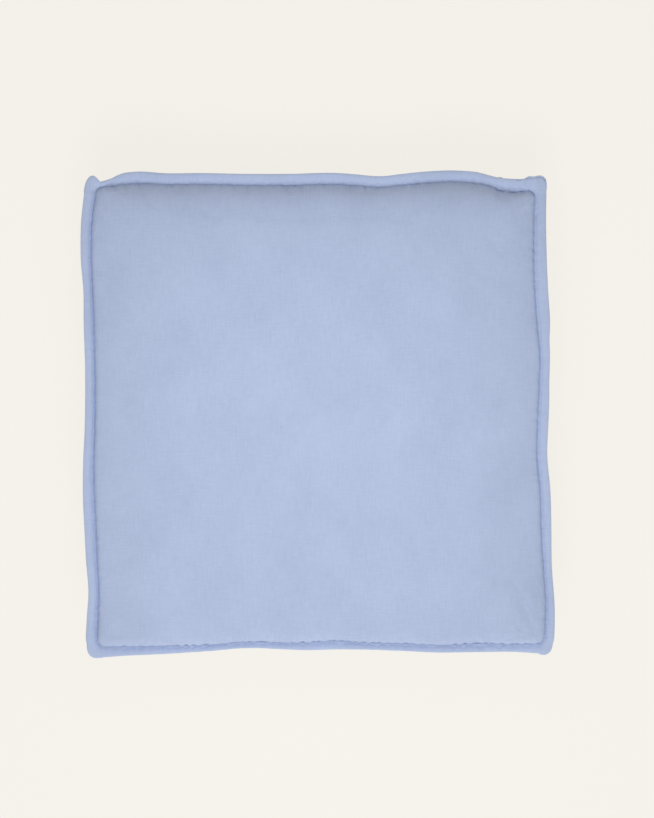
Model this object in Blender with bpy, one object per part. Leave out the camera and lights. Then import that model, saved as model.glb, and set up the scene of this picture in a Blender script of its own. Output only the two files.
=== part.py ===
"""Square box floor cushion with a raised two-ply lip round its top and bottom edges.

It lies flat: +Z is up, +Y is the back, where the zip is, and the origin is the middle of the
underside. Sizes are in metres. The loose cover is a top panel, a bottom panel and boxing strips.
Each lip is the panel's edge and the boxing's edge, turned out together and stitched through at
the foot. Inside is a foam core in two sheets of wadding, in an inner cover of its own.

A place on a section is (inset, height): inset is measured inwards from the seam line, and is
negative outside it.
"""

import math

import bmesh
import bpy
import numpy as np

# Overall sizes
WIDTH = 0.600  # left to right, over the top lip
DEPTH = 0.616  # front to back, over the top lip
BOXING_HEIGHT = 0.098  # between the seams of the two lips

# Outer cover
CLOTH = 0.0010  # one ply
GAP = 0.0004  # between pieces that touch
TOP_LIP = 0.0150  # width of the top lip's plies, seam to edge
TOP_LIP_TILT = math.radians(37)  # above the horizontal
BOTTOM_LIP = 0.0125
BOTTOM_LIP_TILT = math.radians(20)  # below the horizontal
SEAM_RADIUS = 0.008  # of the seam line at a corner
CROWN = 0.026  # how far the top panel rises above its seam
CROWN_ROLL = 0.034  # how far in most of that rise takes
BELLY = 0.006  # how far the bottom panel drops below its seam, down to the floor
BELLY_ROLL = 0.012
BULGE = 0.004  # how far the boxing stands out from the seam line
BULGE_RUN = 0.020  # height from each seam to where the boxing stands upright

# Inner cushion
SIDE_EASE = 0.0015  # from the seam line in to the inner cover
INNER_CLOTH = 0.0008
WADDING = 0.0080
CORE_EDGE = 0.0080  # size of the softened edges of the inner cushion

# Lip stitching
THREAD = 0.0006  # diameter
THREAD_INSET = 0.0015  # from the seam out to the stitches

# Zip, in the middle of the back
ZIP_CHAIN = 0.500  # length of the coils
ZIP_SLOT = 0.0105  # opening between the two back strips
SLOT_SPARE = 0.0060  # how much longer the opening is than the coils, at each end
TAPE_WIDTH = 0.0140
TAPE_SPARE = 0.0150  # how much longer the tapes are than the coils, at each end
TAPE = 0.0006
COIL_WIDTH = 0.0025
COIL_HEIGHT = 0.0020
CHAIN_GAP = 0.0014  # between the two coils, where the slider's post runs
SLIDER_LENGTH = 0.0125
SLIDER_PLATE = 0.0010
SLIDER_WALL = 0.00095  # of the cheeks beside the coils
SLIDER_CLEAR = 0.0004
POST_WIDTH = 0.0007
BAIL_SPAN = 0.0060  # clear length under the bail
BAIL_RISE = 0.0025  # clear height under the bail
BAIL_WIRE = 0.0012
PULL_LENGTH = 0.0260
PULL_WIDTH = 0.0070
PULL_THICKNESS = 0.0012
PULL_BAR = 0.0008  # half the width of the bar that turns under the bail
STOP_LENGTH = 0.0030
STITCH_OFFSET = 0.0030  # from the edge of the opening to its stitching

# Mesh steps
CORNER_STEPS = 2  # in half a corner
CROWN_STEPS = 6
BELLY_STEPS = 4
THREAD_SIDES = 5

# Colours as sRGB, then roughness and metallic
FINISHES = {
    "cover": ((0.70, 0.76, 0.88), 0.90, 0.0),
    "thread": ((0.72, 0.78, 0.90), 0.60, 0.0),
    "inner": ((0.93, 0.91, 0.87), 0.90, 0.0),
    "wadding": ((0.96, 0.96, 0.95), 0.95, 0.0),
    "foam": ((0.93, 0.89, 0.74), 0.95, 0.0),
    "tape": ((0.68, 0.74, 0.87), 0.80, 0.0),
    "coil": ((0.70, 0.76, 0.88), 0.35, 0.0),
    "metal": ((0.78, 0.78, 0.77), 0.30, 1.0),
}

# Outward direction of each side, in order round the cushion
SIDES = {"front": (0, -1), "right": (1, 0), "back": (0, 1), "left": (-1, 0)}

PLY_OUTER = GAP / 2 + CLOTH  # from the middle of a lip to the outside of a ply
LIP_REACH = TOP_LIP * math.cos(TOP_LIP_TILT) + PLY_OUTER * math.sin(TOP_LIP_TILT)
SEAM_HALF_X = WIDTH / 2 - LIP_REACH
SEAM_HALF_Y = DEPTH / 2 - LIP_REACH
SHORT_HALF = min(SEAM_HALF_X, SEAM_HALF_Y)
CROWN_REACH = 0.85 * SHORT_HALF  # the panel is level further in than this
BELLY_REACH = 0.20 * SHORT_HALF
BOTTOM_SEAM = BELLY + PLY_OUTER / math.cos(BOTTOM_LIP_TILT)
TOP_SEAM = BOTTOM_SEAM + BOXING_HEIGHT
MIDDLE = (BOTTOM_SEAM + TOP_SEAM) / 2
INNER_DEPTH = CLOTH + GAP  # from the outside of the cover to the inner cover
WADDING_DEPTH = INNER_DEPTH + INNER_CLOTH + GAP
CORE_DEPTH = WADDING_DEPTH + WADDING + GAP


class Lip:
    """One lip: its seam's height, which way it leans, and how wide it is."""

    def __init__(self, seam, up, tilt, width):
        self.seam, self.up, self.tilt, self.width = seam, up, tilt, width

    def at(self, along, off):
        """(inset, height) at a distance from the seam and off the middle, + on the panel's side."""
        inset = off * math.sin(self.tilt) - along * math.cos(self.tilt)
        rise = off * math.cos(self.tilt) + along * math.sin(self.tilt)
        return inset, self.seam + self.up * rise

    def foot(self, inset, off):
        """The point at this distance off the middle that has this inset."""
        return self.at((off * math.sin(self.tilt) - inset) / math.cos(self.tilt), off)


TOP = Lip(TOP_SEAM, 1, TOP_LIP_TILT, TOP_LIP)
BOTTOM = Lip(BOTTOM_SEAM, -1, BOTTOM_LIP_TILT, BOTTOM_LIP)


def linear(channel):
    return channel / 12.92 if channel <= 0.04045 else ((channel + 0.055) / 1.055) ** 2.4


def dress(obj, finish):
    colour, roughness, metallic = FINISHES[finish]
    material = bpy.data.materials.new(obj.name)
    material.use_nodes = True
    shader = material.node_tree.nodes["Principled BSDF"]
    shader.inputs["Base Color"].default_value = (*map(linear, colour), 1.0)
    shader.inputs["Roughness"].default_value = roughness
    shader.inputs["Metallic"].default_value = metallic
    obj.data.materials.append(material)


def add_object(name, shape, finish):
    """Makes an object of a bmesh, with its faces turned outwards."""
    shape.normal_update()
    bmesh.ops.recalc_face_normals(shape, faces=shape.faces)
    mesh = bpy.data.meshes.new(name)
    shape.to_mesh(mesh)
    shape.free()
    obj = bpy.data.objects.new(name, mesh)
    bpy.context.scene.collection.objects.link(obj)
    mesh.shade_smooth()
    mesh.set_sharp_from_angle(angle=math.radians(35))
    if finish:
        dress(obj, finish)
    return obj


def corner_radius(inset):
    """The corners get rounder towards the middle of the panel."""
    inset = max(inset, 0.0)
    return min(SEAM_RADIUS + 0.5 * inset, 0.9 * (SHORT_HALF - inset))


def side_path(side, inset, stops=(0.0,), trim=0.0):
    """(x, y) points along one side, from the middle of one corner to the middle of the next."""
    out_x, out_y = SIDES[side]
    half_along = (SEAM_HALF_Y if out_x else SEAM_HALF_X) - inset
    half_out = (SEAM_HALF_X if out_x else SEAM_HALF_Y) - inset
    radius = corner_radius(inset)
    run = half_along - radius
    arc = []
    for step in range(CORNER_STEPS):
        angle = math.radians(45) * (step / CORNER_STEPS - 1)
        slant = trim * math.sqrt(0.5) if step == 0 else 0.0
        along = -run + radius * math.sin(angle) + slant
        arc.append((along, half_out - radius + radius * math.cos(angle) + slant))
    local = arc + [(along, half_out) for along in (-run, *stops, run)]
    local += [(-along, out) for along, out in reversed(arc)]
    return [(-a * out_y + o * out_x, a * out_x + o * out_y) for a, o in local]


def ring_path(inset):
    points = []
    for side in SIDES:
        points += side_path(side, inset)[:-1]
    return points


def loft(name, rows, finish, closed_path, closed_section):
    """A solid skinned over rows of points. An open path or section is closed with a flat cap."""
    shape = bmesh.new()
    grid = [[shape.verts.new(point) for point in row] for row in rows]
    for i in range(len(grid) if closed_section else len(grid) - 1):
        near, far = grid[i], grid[(i + 1) % len(grid)]
        for j in range(len(near) if closed_path else len(near) - 1):
            k = (j + 1) % len(near)
            shape.faces.new((near[j], near[k], far[k], far[j]))
    if not closed_section:
        shape.faces.new(grid[0])
        shape.faces.new(grid[-1])
    if not closed_path:
        shape.faces.new([row[0] for row in grid])
        shape.faces.new([row[-1] for row in grid])
    return add_object(name, shape, finish)


def round_solid(name, section, finish):
    """A solid that goes right round, with the section's first and last points in its level middle."""
    rows = [[(x, y, height) for x, y in ring_path(inset)] for inset, height in section]
    return loft(name, rows, finish, closed_path=True, closed_section=False)


def ring_solid(name, section, finish):
    rows = [[(x, y, height) for x, y in ring_path(inset)] for inset, height in section]
    return loft(name, rows, finish, closed_path=True, closed_section=True)


def side_solid(name, side, section, finish):
    rows = []
    for inset, height in section:
        path = side_path(side, inset, trim=GAP / 2)
        rows.append([(x, y, height) for x, y in path])
    return loft(name, rows, finish, closed_path=False, closed_section=True)


# The cover's two surfaces


def swell(inset, size, roll, reach):
    """(rise, slope) of a panel that swells up from its seam and is level at reach."""
    full = 1 - math.exp(-reach / roll)
    fade = math.exp(-min(inset, reach) / roll)
    return size * (1 - fade) / full, size * fade / roll / full


def top_height(inset, depth):
    """Height this deep below the top panel's outside."""
    rise, slope = swell(inset, CROWN, CROWN_ROLL, CROWN_REACH)
    crease = TOP_SEAM + PLY_OUTER / math.cos(TOP_LIP_TILT)
    return crease + rise - depth * math.sqrt(1 + slope**2)


def bottom_height(inset, depth):
    """Height this deep inside the bottom panel, which lies on the floor."""
    drop, slope = swell(inset, BELLY, BELLY_ROLL, BELLY_REACH)
    return BELLY - drop + depth * math.sqrt(1 + slope**2)


def samples(reach, steps):
    """Insets along a panel, close together at the edge, with the last at reach."""
    return [reach * (step / steps) ** 2 for step in range(1, steps + 1)]


def panel_points(lip, depth, start=0.0):
    """Points this deep inside a panel, from start inwards. It is flat between its samples."""
    if lip is TOP:
        height, insets = top_height, samples(CROWN_REACH, CROWN_STEPS)
    else:
        height, insets = bottom_height, samples(BELLY_REACH, BELLY_STEPS)
    knots = [(inset, height(inset, depth)) for inset in (0.0, *insets)]
    first = (start, float(np.interp(start, *zip(*knots))))
    return [first] + [knot for knot in knots if knot[0] > start]


def panel_section(lip, outside, inside):
    """A panel's outside to the edge of its ply of the lip, and back along its inside."""
    edge = [
        lip.foot(0.0, PLY_OUTER),
        lip.at(lip.width, PLY_OUTER),
        lip.at(lip.width, GAP / 2),
        lip.foot(0.0, GAP / 2),
    ]
    return outside[::-1] + edge + inside


def make_panels():
    for name, lip in (("top_panel", TOP), ("bottom_panel", BOTTOM)):
        outside, inside = panel_points(lip, 0.0), panel_points(lip, CLOTH)
        round_solid(name, panel_section(lip, outside[1:], inside[1:]), "cover")


# Boxing


def wall_end(lip, face):
    """The boxing's ply of a lip and its first stretch of wall. Face is -1 outside and 1 inside."""
    off = -PLY_OUTER if face < 0 else -GAP / 2
    upright = lip.seam - lip.up * BULGE_RUN
    return [
        lip.at(lip.width, off),
        lip.foot(face * CLOTH / 2, off),
        (face * CLOTH / 2 - BULGE, upright),
    ]


def make_plain_boxing():
    section = wall_end(TOP, 1) + wall_end(BOTTOM, 1)[::-1]
    section += wall_end(BOTTOM, -1) + wall_end(TOP, -1)[::-1]
    for side in ("front", "right", "left"):
        side_solid("boxing_" + side, side, section, "cover")


def make_back_boxing():
    """The back is two strips, which open into a slot over the zip and meet beyond its ends."""
    open_to = ZIP_CHAIN / 2 + SLOT_SPARE
    stops = (-open_to - GAP, -open_to, open_to, open_to + GAP)
    for name, lip in (("boxing_back_upper", TOP), ("boxing_back_lower", BOTTOM)):
        faces = [(inset, height, False) for inset, height in wall_end(lip, 1)]
        faces += [(CLOTH / 2 - BULGE, 0.0, True), (-CLOTH / 2 - BULGE, 0.0, True)]
        faces += [(inset, height, False) for inset, height in wall_end(lip, -1)[::-1]]
        rows = []
        for inset, height, on_slot in faces:
            row = []
            for x, y in side_path("back", inset, stops, trim=GAP / 2):
                if on_slot:
                    half = ZIP_SLOT / 2 if abs(x) <= open_to else GAP / 2
                    height = MIDDLE + lip.up * half
                row.append((x, y, height))
            rows.append(row)
        loft(name, rows, "cover", closed_path=False, closed_section=True)


# Lip stitching


def make_lip_threads():
    """Each lip is sewn through with a needle thread on the panel's side and a bobbin thread."""
    off = PLY_OUTER + GAP + THREAD / 2
    for end, lip in (("top", TOP), ("bottom", BOTTOM)):
        for thread, face in (("needle", 1), ("bobbin", -1)):
            inset, height = lip.at(THREAD_INSET, face * off)
            section = []
            for step in range(THREAD_SIDES):
                angle = math.tau * step / THREAD_SIDES
                across, up = math.cos(angle) * THREAD / 2, math.sin(angle) * THREAD / 2
                section.append((inset + across, height + up))
            ring_solid(f"{thread}_thread_{end}", section, "thread")


# Inner cushion


def tray_face(lip, layer, meet):
    """One face of half the inner cushion: its side, its softened edge and its level middle."""
    side_inset = SIDE_EASE + layer - INNER_DEPTH
    points = panel_points(lip, layer, side_inset + CORE_EDGE)
    level = points[0][1]
    return [
        (side_inset, meet),
        (side_inset, level - lip.up * 1.60 * CORE_EDGE),
        (side_inset + 0.30 * CORE_EDGE, level - lip.up * 0.75 * CORE_EDGE),
        *points,
    ]


def make_half(name, lip, depth, thickness, finish):
    """The top or bottom half of a layer that goes all round the inner cushion."""
    meet = MIDDLE + lip.up * GAP / 2
    outside, inside = tray_face(lip, depth, meet), tray_face(lip, depth + thickness, meet)
    round_solid(name, outside[::-1] + inside, finish)


def make_inner_cushion():
    layers = (
        ("inner_cover", INNER_DEPTH, INNER_CLOTH, "inner"),
        ("wadding", WADDING_DEPTH, WADDING, "wadding"),
    )
    for name, depth, thickness, finish in layers:
        make_half(name + "_top", TOP, depth, thickness, finish)
        make_half(name + "_bottom", BOTTOM, depth, thickness, finish)
    upper, lower = tray_face(TOP, CORE_DEPTH, MIDDLE), tray_face(BOTTOM, CORE_DEPTH, MIDDLE)
    round_solid("foam_core", upper[::-1] + lower[1:], "foam")


# Zip. A place on it is (u, v, w): u along +X, v up from the middle of the boxing, and w out from
# the outside of the tapes.

TAPE_FACE = SEAM_HALF_Y + BULGE - CLOTH / 2 - GAP
WALL_OUT = 2 * CLOTH / 2 + GAP  # outside of the boxing, in w
COIL_INNER = CHAIN_GAP / 2
COIL_OUTER = COIL_INNER + COIL_WIDTH
COIL_TOP = GAP + COIL_HEIGHT
PLATE_LOW = COIL_TOP + SLIDER_CLEAR
PLATE_TOP = PLATE_LOW + SLIDER_PLATE
CHEEK_INNER = COIL_OUTER + SLIDER_CLEAR
CHEEK_OUTER = CHEEK_INNER + SLIDER_WALL
BACK_PLATE_TOP = -TAPE - SLIDER_CLEAR
BAIL_TOP = PLATE_TOP + BAIL_RISE + BAIL_WIRE
HINGE_OUT = PLATE_TOP + BAIL_RISE / 2
SLIDER_U = ZIP_CHAIN / 2 - GAP - SLIDER_LENGTH / 2  # closed, against the top stops


def zip_block(name, low, high, finish, origin=(0.0, 0.0, 0.0)):
    """A box from one (u, v, w) corner to the other, as an object whose origin is at (u, v, w)."""
    shape = bmesh.new()
    bmesh.ops.create_cube(shape, size=1.0)
    for vert in shape.verts:
        u, v, w = (
            (a + b) / 2 + (b - a) * side - start
            for a, b, side, start in zip(low, high, vert.co, origin)
        )
        vert.co = (u, w, v)
    obj = add_object(name, shape, finish)
    obj.location = (origin[0], TAPE_FACE + origin[2], MIDDLE + origin[1])
    return obj


def zip_plate(name, outline, low, high, finish, origin):
    """A plate with an outline of (u, v) points, from one height w to another."""
    shape = bmesh.new()
    rings = []
    for w in (low, high):
        points = [(u - origin[0], w - origin[2], v - origin[1]) for u, v in outline]
        rings.append([shape.verts.new(point) for point in points])
        shape.faces.new(rings[-1])
    for i in range(len(outline)):
        k = (i + 1) % len(outline)
        shape.faces.new((rings[0][i], rings[0][k], rings[1][k], rings[1][i]))
    obj = add_object(name, shape, finish)
    obj.location = (origin[0], TAPE_FACE + origin[2], MIDDLE + origin[1])
    return obj


def attach(child, parent):
    """Parents a child that is already in its place."""
    child.location = [a - b for a, b in zip(child.location, parent.location)]
    child.parent = parent


def combine(body, tool, operation):
    """Joins a helper to a body, or cuts it away, with a Boolean that stays on the body."""
    modifier = body.modifiers.new(tool.name, "BOOLEAN")
    modifier.operation = operation
    modifier.solver = "EXACT"
    modifier.object = tool
    tool.hide_render = True
    tool.display_type = "WIRE"
    attach(tool, body)


def make_tapes_and_coils():
    half = ZIP_CHAIN / 2
    for end, up in (("upper", 1), ("lower", -1)):
        reach = half + TAPE_SPARE
        edges = sorted((up * COIL_INNER, up * (COIL_INNER + TAPE_WIDTH)))
        low, high = (-reach, edges[0], -TAPE), (reach, edges[1], 0.0)
        zip_block("zip_tape_" + end, low, high, "tape")
        edges = sorted((up * COIL_INNER, up * COIL_OUTER))
        low, high = (-half, edges[0], GAP), (half, edges[1], COIL_TOP)
        zip_block("zip_coil_" + end, low, high, "coil")
        low = (half + GAP, edges[0], GAP)
        high = (half + GAP + STOP_LENGTH, edges[1], COIL_TOP + SLIDER_CLEAR + GAP)
        zip_block("zip_top_stop_" + end, low, high, "metal")
    low = (-half - GAP - STOP_LENGTH, -COIL_OUTER, GAP)
    high = (-half - GAP, COIL_OUTER, COIL_TOP + SLIDER_CLEAR + GAP)
    zip_block("zip_bottom_stop", low, high, "metal")


def make_slider():
    """The front plate and cheeks, the back plate, the post that joins them, and the bail."""
    origin = (SLIDER_U, 0.0, 0.0)
    front, tail = SLIDER_U + SLIDER_LENGTH / 2, SLIDER_U - SLIDER_LENGTH / 2
    shoulder = SLIDER_U + 0.2 * SLIDER_LENGTH
    nose = 0.75 * CHEEK_OUTER
    outline = [(tail, -CHEEK_OUTER), (shoulder, -CHEEK_OUTER), (front, -nose)]
    outline += [(u, -v) for u, v in reversed(outline)]
    slider = zip_plate("zip_slider", outline, PLATE_LOW, PLATE_TOP, "metal", origin)
    back_low = BACK_PLATE_TOP - SLIDER_PLATE
    back = zip_plate("slider_back_plate", outline, back_low, BACK_PLATE_TOP, None, origin)
    lap = SLIDER_PLATE / 2
    post = zip_block(
        "slider_post",
        (shoulder, -POST_WIDTH / 2, BACK_PLATE_TOP - lap),
        (front - SLIDER_LENGTH / 10, POST_WIDTH / 2, PLATE_LOW + lap),
        None,
        origin,
    )
    parts = [post, back]
    for name, up in (("upper", 1), ("lower", -1)):
        edges = sorted((up * CHEEK_INNER, up * CHEEK_OUTER))
        low, high = (tail, edges[0], SLIDER_CLEAR), (shoulder, edges[1], PLATE_LOW + lap)
        parts.append(zip_block("slider_cheek_" + name, low, high, None, origin))
    inner, outer = BAIL_SPAN / 2, BAIL_SPAN / 2 + BAIL_WIRE
    for name, end in (("front", 1), ("tail", -1)):
        edges = sorted((SLIDER_U + end * inner, SLIDER_U + end * outer))
        low = (edges[0], -BAIL_WIRE, PLATE_TOP - lap)
        high = (edges[1], BAIL_WIRE, BAIL_TOP - lap)
        parts.append(zip_block("slider_bail_" + name, low, high, None, origin))
    low = (SLIDER_U - outer, -BAIL_WIRE, PLATE_TOP + BAIL_RISE)
    high = (SLIDER_U + outer, BAIL_WIRE, BAIL_TOP)
    parts.append(zip_block("slider_bail_bridge", low, high, None, origin))
    for part in parts:
        combine(slider, part, "UNION")
    return slider


def make_pull():
    """A flat tab whose end bar turns under the bail. It lies back along the closed coils."""
    origin = (SLIDER_U, 0.0, HINGE_OUT)
    half = PULL_WIDTH / 2
    near, far = SLIDER_U + PULL_BAR, SLIDER_U + PULL_BAR - PULL_LENGTH
    outline = [(near, half - PULL_BAR), (near - PULL_BAR, half), (far + half, half)]
    steps = 4
    for step in range(1, steps):
        angle = math.pi / 2 * step / steps
        outline.append((far + half - half * math.sin(angle), half * math.cos(angle)))
    outline.append((far, 0.0))
    outline += [(u, -v) for u, v in reversed(outline[:-1])]
    low, high = HINGE_OUT - PULL_THICKNESS / 2, HINGE_OUT + PULL_THICKNESS / 2
    pull = zip_plate("zip_pull", outline, low, high, "metal", origin)
    bail_corner = math.hypot(BAIL_SPAN / 2 + BAIL_WIRE, BAIL_TOP - HINGE_OUT)
    eye = zip_block(
        "pull_eye",
        (SLIDER_U - bail_corner - 2 * SLIDER_CLEAR, -BAIL_WIRE - SLIDER_CLEAR, low - GAP),
        (SLIDER_U - PULL_BAR, BAIL_WIRE + SLIDER_CLEAR, high + GAP),
        None,
        origin,
    )
    combine(pull, eye, "DIFFERENCE")
    return pull


def make_zip_stitching():
    """One thread round the opening, sewn through the boxing and the tapes."""
    low, high = WALL_OUT + GAP, WALL_OUT + GAP + THREAD
    rows = []
    for grow, w in ((0.0, low), (THREAD, low), (THREAD, high), (0.0, high)):
        u = ZIP_CHAIN / 2 + SLOT_SPARE + STITCH_OFFSET + grow
        v = ZIP_SLOT / 2 + STITCH_OFFSET + grow
        corners = ((-u, -v), (u, -v), (u, v), (-u, v))
        rows.append([(a, TAPE_FACE + w, MIDDLE + b) for a, b in corners])
    loft("zip_stitching", rows, "thread", closed_path=True, closed_section=True)


def make_zip():
    make_tapes_and_coils()
    make_zip_stitching()
    slider = make_slider()
    attach(make_pull(), slider)


def main():
    for obj in list(bpy.data.objects):
        bpy.data.objects.remove(obj)
    make_panels()
    make_plain_boxing()
    make_back_boxing()
    make_lip_threads()
    make_inner_cushion()
    make_zip()


if __name__ == "__main__":
    main()
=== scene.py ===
"""A square box floor cushion in washed linen, lying on a pale floor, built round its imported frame.

+Z is up, +Y is the back, where the zip is, and the origin is the middle of the underside. Lengths
are in metres; the short shape tables of each side are in millimetres. The loose cover is a top
panel, a bottom panel and boxing strips. Each lip is the panel's edge and the boxing's edge,
turned out together and stitched through at the foot. A place near a seam is (inset, height):
inset is measured inwards from the seam line, and is negative outside it.
"""

import logging
import math
from collections.abc import Sequence
from dataclasses import dataclass, field
from enum import Enum

import bmesh
import bpy
import numpy as np
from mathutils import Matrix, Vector
from mathutils.bvhtree import BVHTree


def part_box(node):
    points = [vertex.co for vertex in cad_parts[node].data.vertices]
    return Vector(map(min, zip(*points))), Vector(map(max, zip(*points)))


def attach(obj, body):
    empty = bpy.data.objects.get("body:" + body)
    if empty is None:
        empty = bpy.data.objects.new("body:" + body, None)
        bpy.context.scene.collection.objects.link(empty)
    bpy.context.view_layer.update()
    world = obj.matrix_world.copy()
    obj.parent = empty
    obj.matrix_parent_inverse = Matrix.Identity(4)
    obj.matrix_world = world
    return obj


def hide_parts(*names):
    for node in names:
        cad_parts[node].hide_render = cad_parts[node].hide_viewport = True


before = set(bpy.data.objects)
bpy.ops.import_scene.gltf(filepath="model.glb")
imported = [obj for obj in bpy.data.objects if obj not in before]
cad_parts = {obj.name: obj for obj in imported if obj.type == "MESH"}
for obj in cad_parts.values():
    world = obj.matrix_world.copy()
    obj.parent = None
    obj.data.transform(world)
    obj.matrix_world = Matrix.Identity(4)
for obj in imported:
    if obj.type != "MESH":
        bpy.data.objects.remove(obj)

MM = 0.001
Curve = Sequence[tuple[float, float]]
Array = np.ndarray
log = logging.getLogger("cushion")

# The seam lines as the part has them: half of each across and along, and their heights
SEAM_HALF = (0.287298, 0.295298)
TOP_SEAM = 0.105277
BOTTOM_SEAM = 0.007277
BOTTOM_REACH = 0.0113  # how far the bottom lip stands out
BOTTOM_WANDER = 0.35  # how much of the top seam's wandering the bottom seam has
BUTT_GAP = 0.0002  # half of the gap where two edges meet
FINE_ROWS = 9  # rows behind the top lip that get more points, for the puckers
CROWN_EASE = 0.0012  # from the part's highest point down to the crown, before the cloth settles
TAPE_COVER = 0.0014  # from the outer face of the tapes to that of the strips over them


class Body(Enum):
    """The bodies of the frame that pieces ride on."""

    CUSHION = "cushion"
    SLIDER = "zip_slider"
    PULL = "zip_pull"


class Slot(Enum):
    """The record's material slots."""

    LINEN = "cover_linen"
    THREAD = "seam_thread"
    CALICO = "inner_calico"
    WADDING = "wadding"
    FOAM = "foam"
    TAPE = "zip_tape"
    COIL = "zip_coil"
    METAL = "zip_metal"


# Curves and meshes


def eased(points: Curve, at: Array) -> Array:
    """Reads a smooth curve through a few points, level past its ends.

    Args:
        points: (place, value) pairs in rising order of place.
        at: The places to read.

    Returns:
        The value at each place.
    """
    xs, ys = np.array(points, float).T
    slopes = np.gradient(ys, xs)
    at = np.clip(at, xs[0], xs[-1])
    i = np.clip(np.searchsorted(xs, at) - 1, 0, len(xs) - 2)
    span = xs[i + 1] - xs[i]
    t = (at - xs[i]) / span
    start = (1 + 2 * t) * (1 - t) ** 2 * ys[i] + t * (1 - t) ** 2 * span * slopes[i]
    end = t**2 * (3 - 2 * t) * ys[i + 1] + t**2 * (t - 1) * span * slopes[i + 1]
    return start + end


def add_object(name: str, data: bpy.types.ID) -> bpy.types.Object:
    """Makes an object of some data and links it to the scene."""
    obj = bpy.data.objects.new(name, data)
    bpy.context.scene.collection.objects.link(obj)
    return obj


def make_mesh(name: str, points: Array, faces: Array) -> bpy.types.Object:
    """Makes a smooth-shaded mesh object.

    Args:
        name: The object's name.
        points: Vertices, one row each.
        faces: Vertex numbers, one row for each face.

    Returns:
        The object, linked to the scene.
    """
    mesh = bpy.data.meshes.new(name)
    mesh.from_pydata(points.tolist(), [], faces.tolist())
    mesh.shade_smooth()
    return add_object(name, mesh)


def points_of(obj: bpy.types.Object) -> Array:
    """The vertices of a mesh object, one row each."""
    flat = np.empty(len(obj.data.vertices) * 3, np.float32)
    obj.data.vertices.foreach_get("co", flat)
    return flat.reshape(-1, 3).astype(float)


def normals_of(obj: bpy.types.Object) -> Array:
    """The vertex normals of a mesh object, one row each."""
    flat = np.empty(len(obj.data.vertices) * 3, np.float32)
    obj.data.vertices.foreach_get("normal", flat)
    return flat.reshape(-1, 3).astype(float)


def move_points(obj: bpy.types.Object, points: Array) -> None:
    """Gives a mesh object new vertex positions.

    Args:
        obj: The mesh object.
        points: Its vertices, one row each.
    """
    obj.data.vertices.foreach_set("co", points.astype(np.float32).ravel())
    obj.data.update()


def set_grain(obj: bpy.types.Object, grain: Array) -> None:
    """Stores each vertex's place on its flat cloth, which the weave is drawn on.

    Args:
        obj: The mesh object.
        grain: (across, along) of each vertex, in metres.
    """
    values = np.zeros((len(obj.data.vertices), 3), np.float32)
    values[:, :2] = grain
    attribute = obj.data.attributes.new("grain", "FLOAT_VECTOR", "POINT")
    attribute.data.foreach_set("vector", values.ravel())


def weigh(obj: bpy.types.Object, name: str, weights: Array) -> None:
    """Makes a vertex group.

    Args:
        obj: The mesh object.
        name: The group's name.
        weights: One weight for each vertex.
    """
    group = obj.vertex_groups.new(name=name)
    levels = np.round(weights, 2)
    for level in np.unique(levels):
        group.add(np.flatnonzero(levels == level).tolist(), float(level), "REPLACE")


def apply_modifiers(obj: bpy.types.Object) -> None:
    """Replaces an object's mesh by what its modifiers make of it."""
    graph = bpy.context.evaluated_depsgraph_get()
    shape = obj.evaluated_get(graph)
    mesh = bpy.data.meshes.new_from_object(shape, preserve_all_data_layers=True, depsgraph=graph)
    obj.modifiers.clear()
    obj.data = mesh


def split_rows(obj: bpy.types.Object, count: int, rows: int, cuts: int) -> None:
    """Puts more points along the first rows of a mesh that is made of rows.

    Args:
        obj: The mesh object.
        count: How many vertices a row has.
        rows: How many rows get more points.
        cuts: How many new points go between two old ones.
    """
    shape = bmesh.new()
    shape.from_mesh(obj.data)
    shape.verts.ensure_lookup_table()
    edges = []
    for edge in shape.edges:
        first, second = (vert.index for vert in edge.verts)
        if first // count == second // count and first < rows * count:
            edges.append(edge)
    bmesh.ops.subdivide_edges(shape, edges=edges, cuts=cuts, use_grid_fill=True)
    bmesh.ops.triangulate(shape, faces=[face for face in shape.faces if len(face.verts) > 4])
    shape.to_mesh(obj.data)
    shape.free()
    obj.data.shade_smooth()


def thicken(obj: bpy.types.Object, thickness: float) -> None:
    """Gives a sheet its thickness, towards its back.

    Args:
        obj: The sheet, with a vertex group named "thin" where its edge is thinner.
        thickness: In metres.
    """
    modifier = obj.modifiers.new("ply", "SOLIDIFY")
    modifier.thickness = thickness
    modifier.offset = -1
    if "thin" in obj.vertex_groups:
        modifier.vertex_group = "thin"
        modifier.thickness_vertex_group = 0.1
    apply_modifiers(obj)


def tube(centre: Array, radius: float, sides: int, up: Array) -> tuple[Array, Array]:
    """Skins one round tube along a line, with its ends closed.

    Args:
        centre: The points of its centreline.
        radius: Its radius.
        sides: How many sides it has.
        up: A direction for each point, not along the line.

    Returns:
        Its vertices, and its faces as vertex numbers.
    """
    ahead = np.gradient(centre, axis=0)
    ahead /= np.linalg.norm(ahead, axis=1)[:, None]
    across = np.cross(ahead, up)
    across /= np.linalg.norm(across, axis=1)[:, None]
    over = np.cross(across, ahead)
    angle = 2 * np.pi * np.arange(sides) / sides
    ring = across[:, None] * np.cos(angle)[:, None] + over[:, None] * np.sin(angle)[:, None]
    points = (centre[:, None] + radius * ring).reshape(-1, 3)
    rows = np.arange(len(centre) - 1)[:, None] * sides
    near, far = np.arange(sides), (np.arange(sides) + 1) % sides
    faces = np.stack([rows + near, rows + far, rows + far + sides, rows + near + sides], -1)
    return points, faces.reshape(-1, 4)


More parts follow.
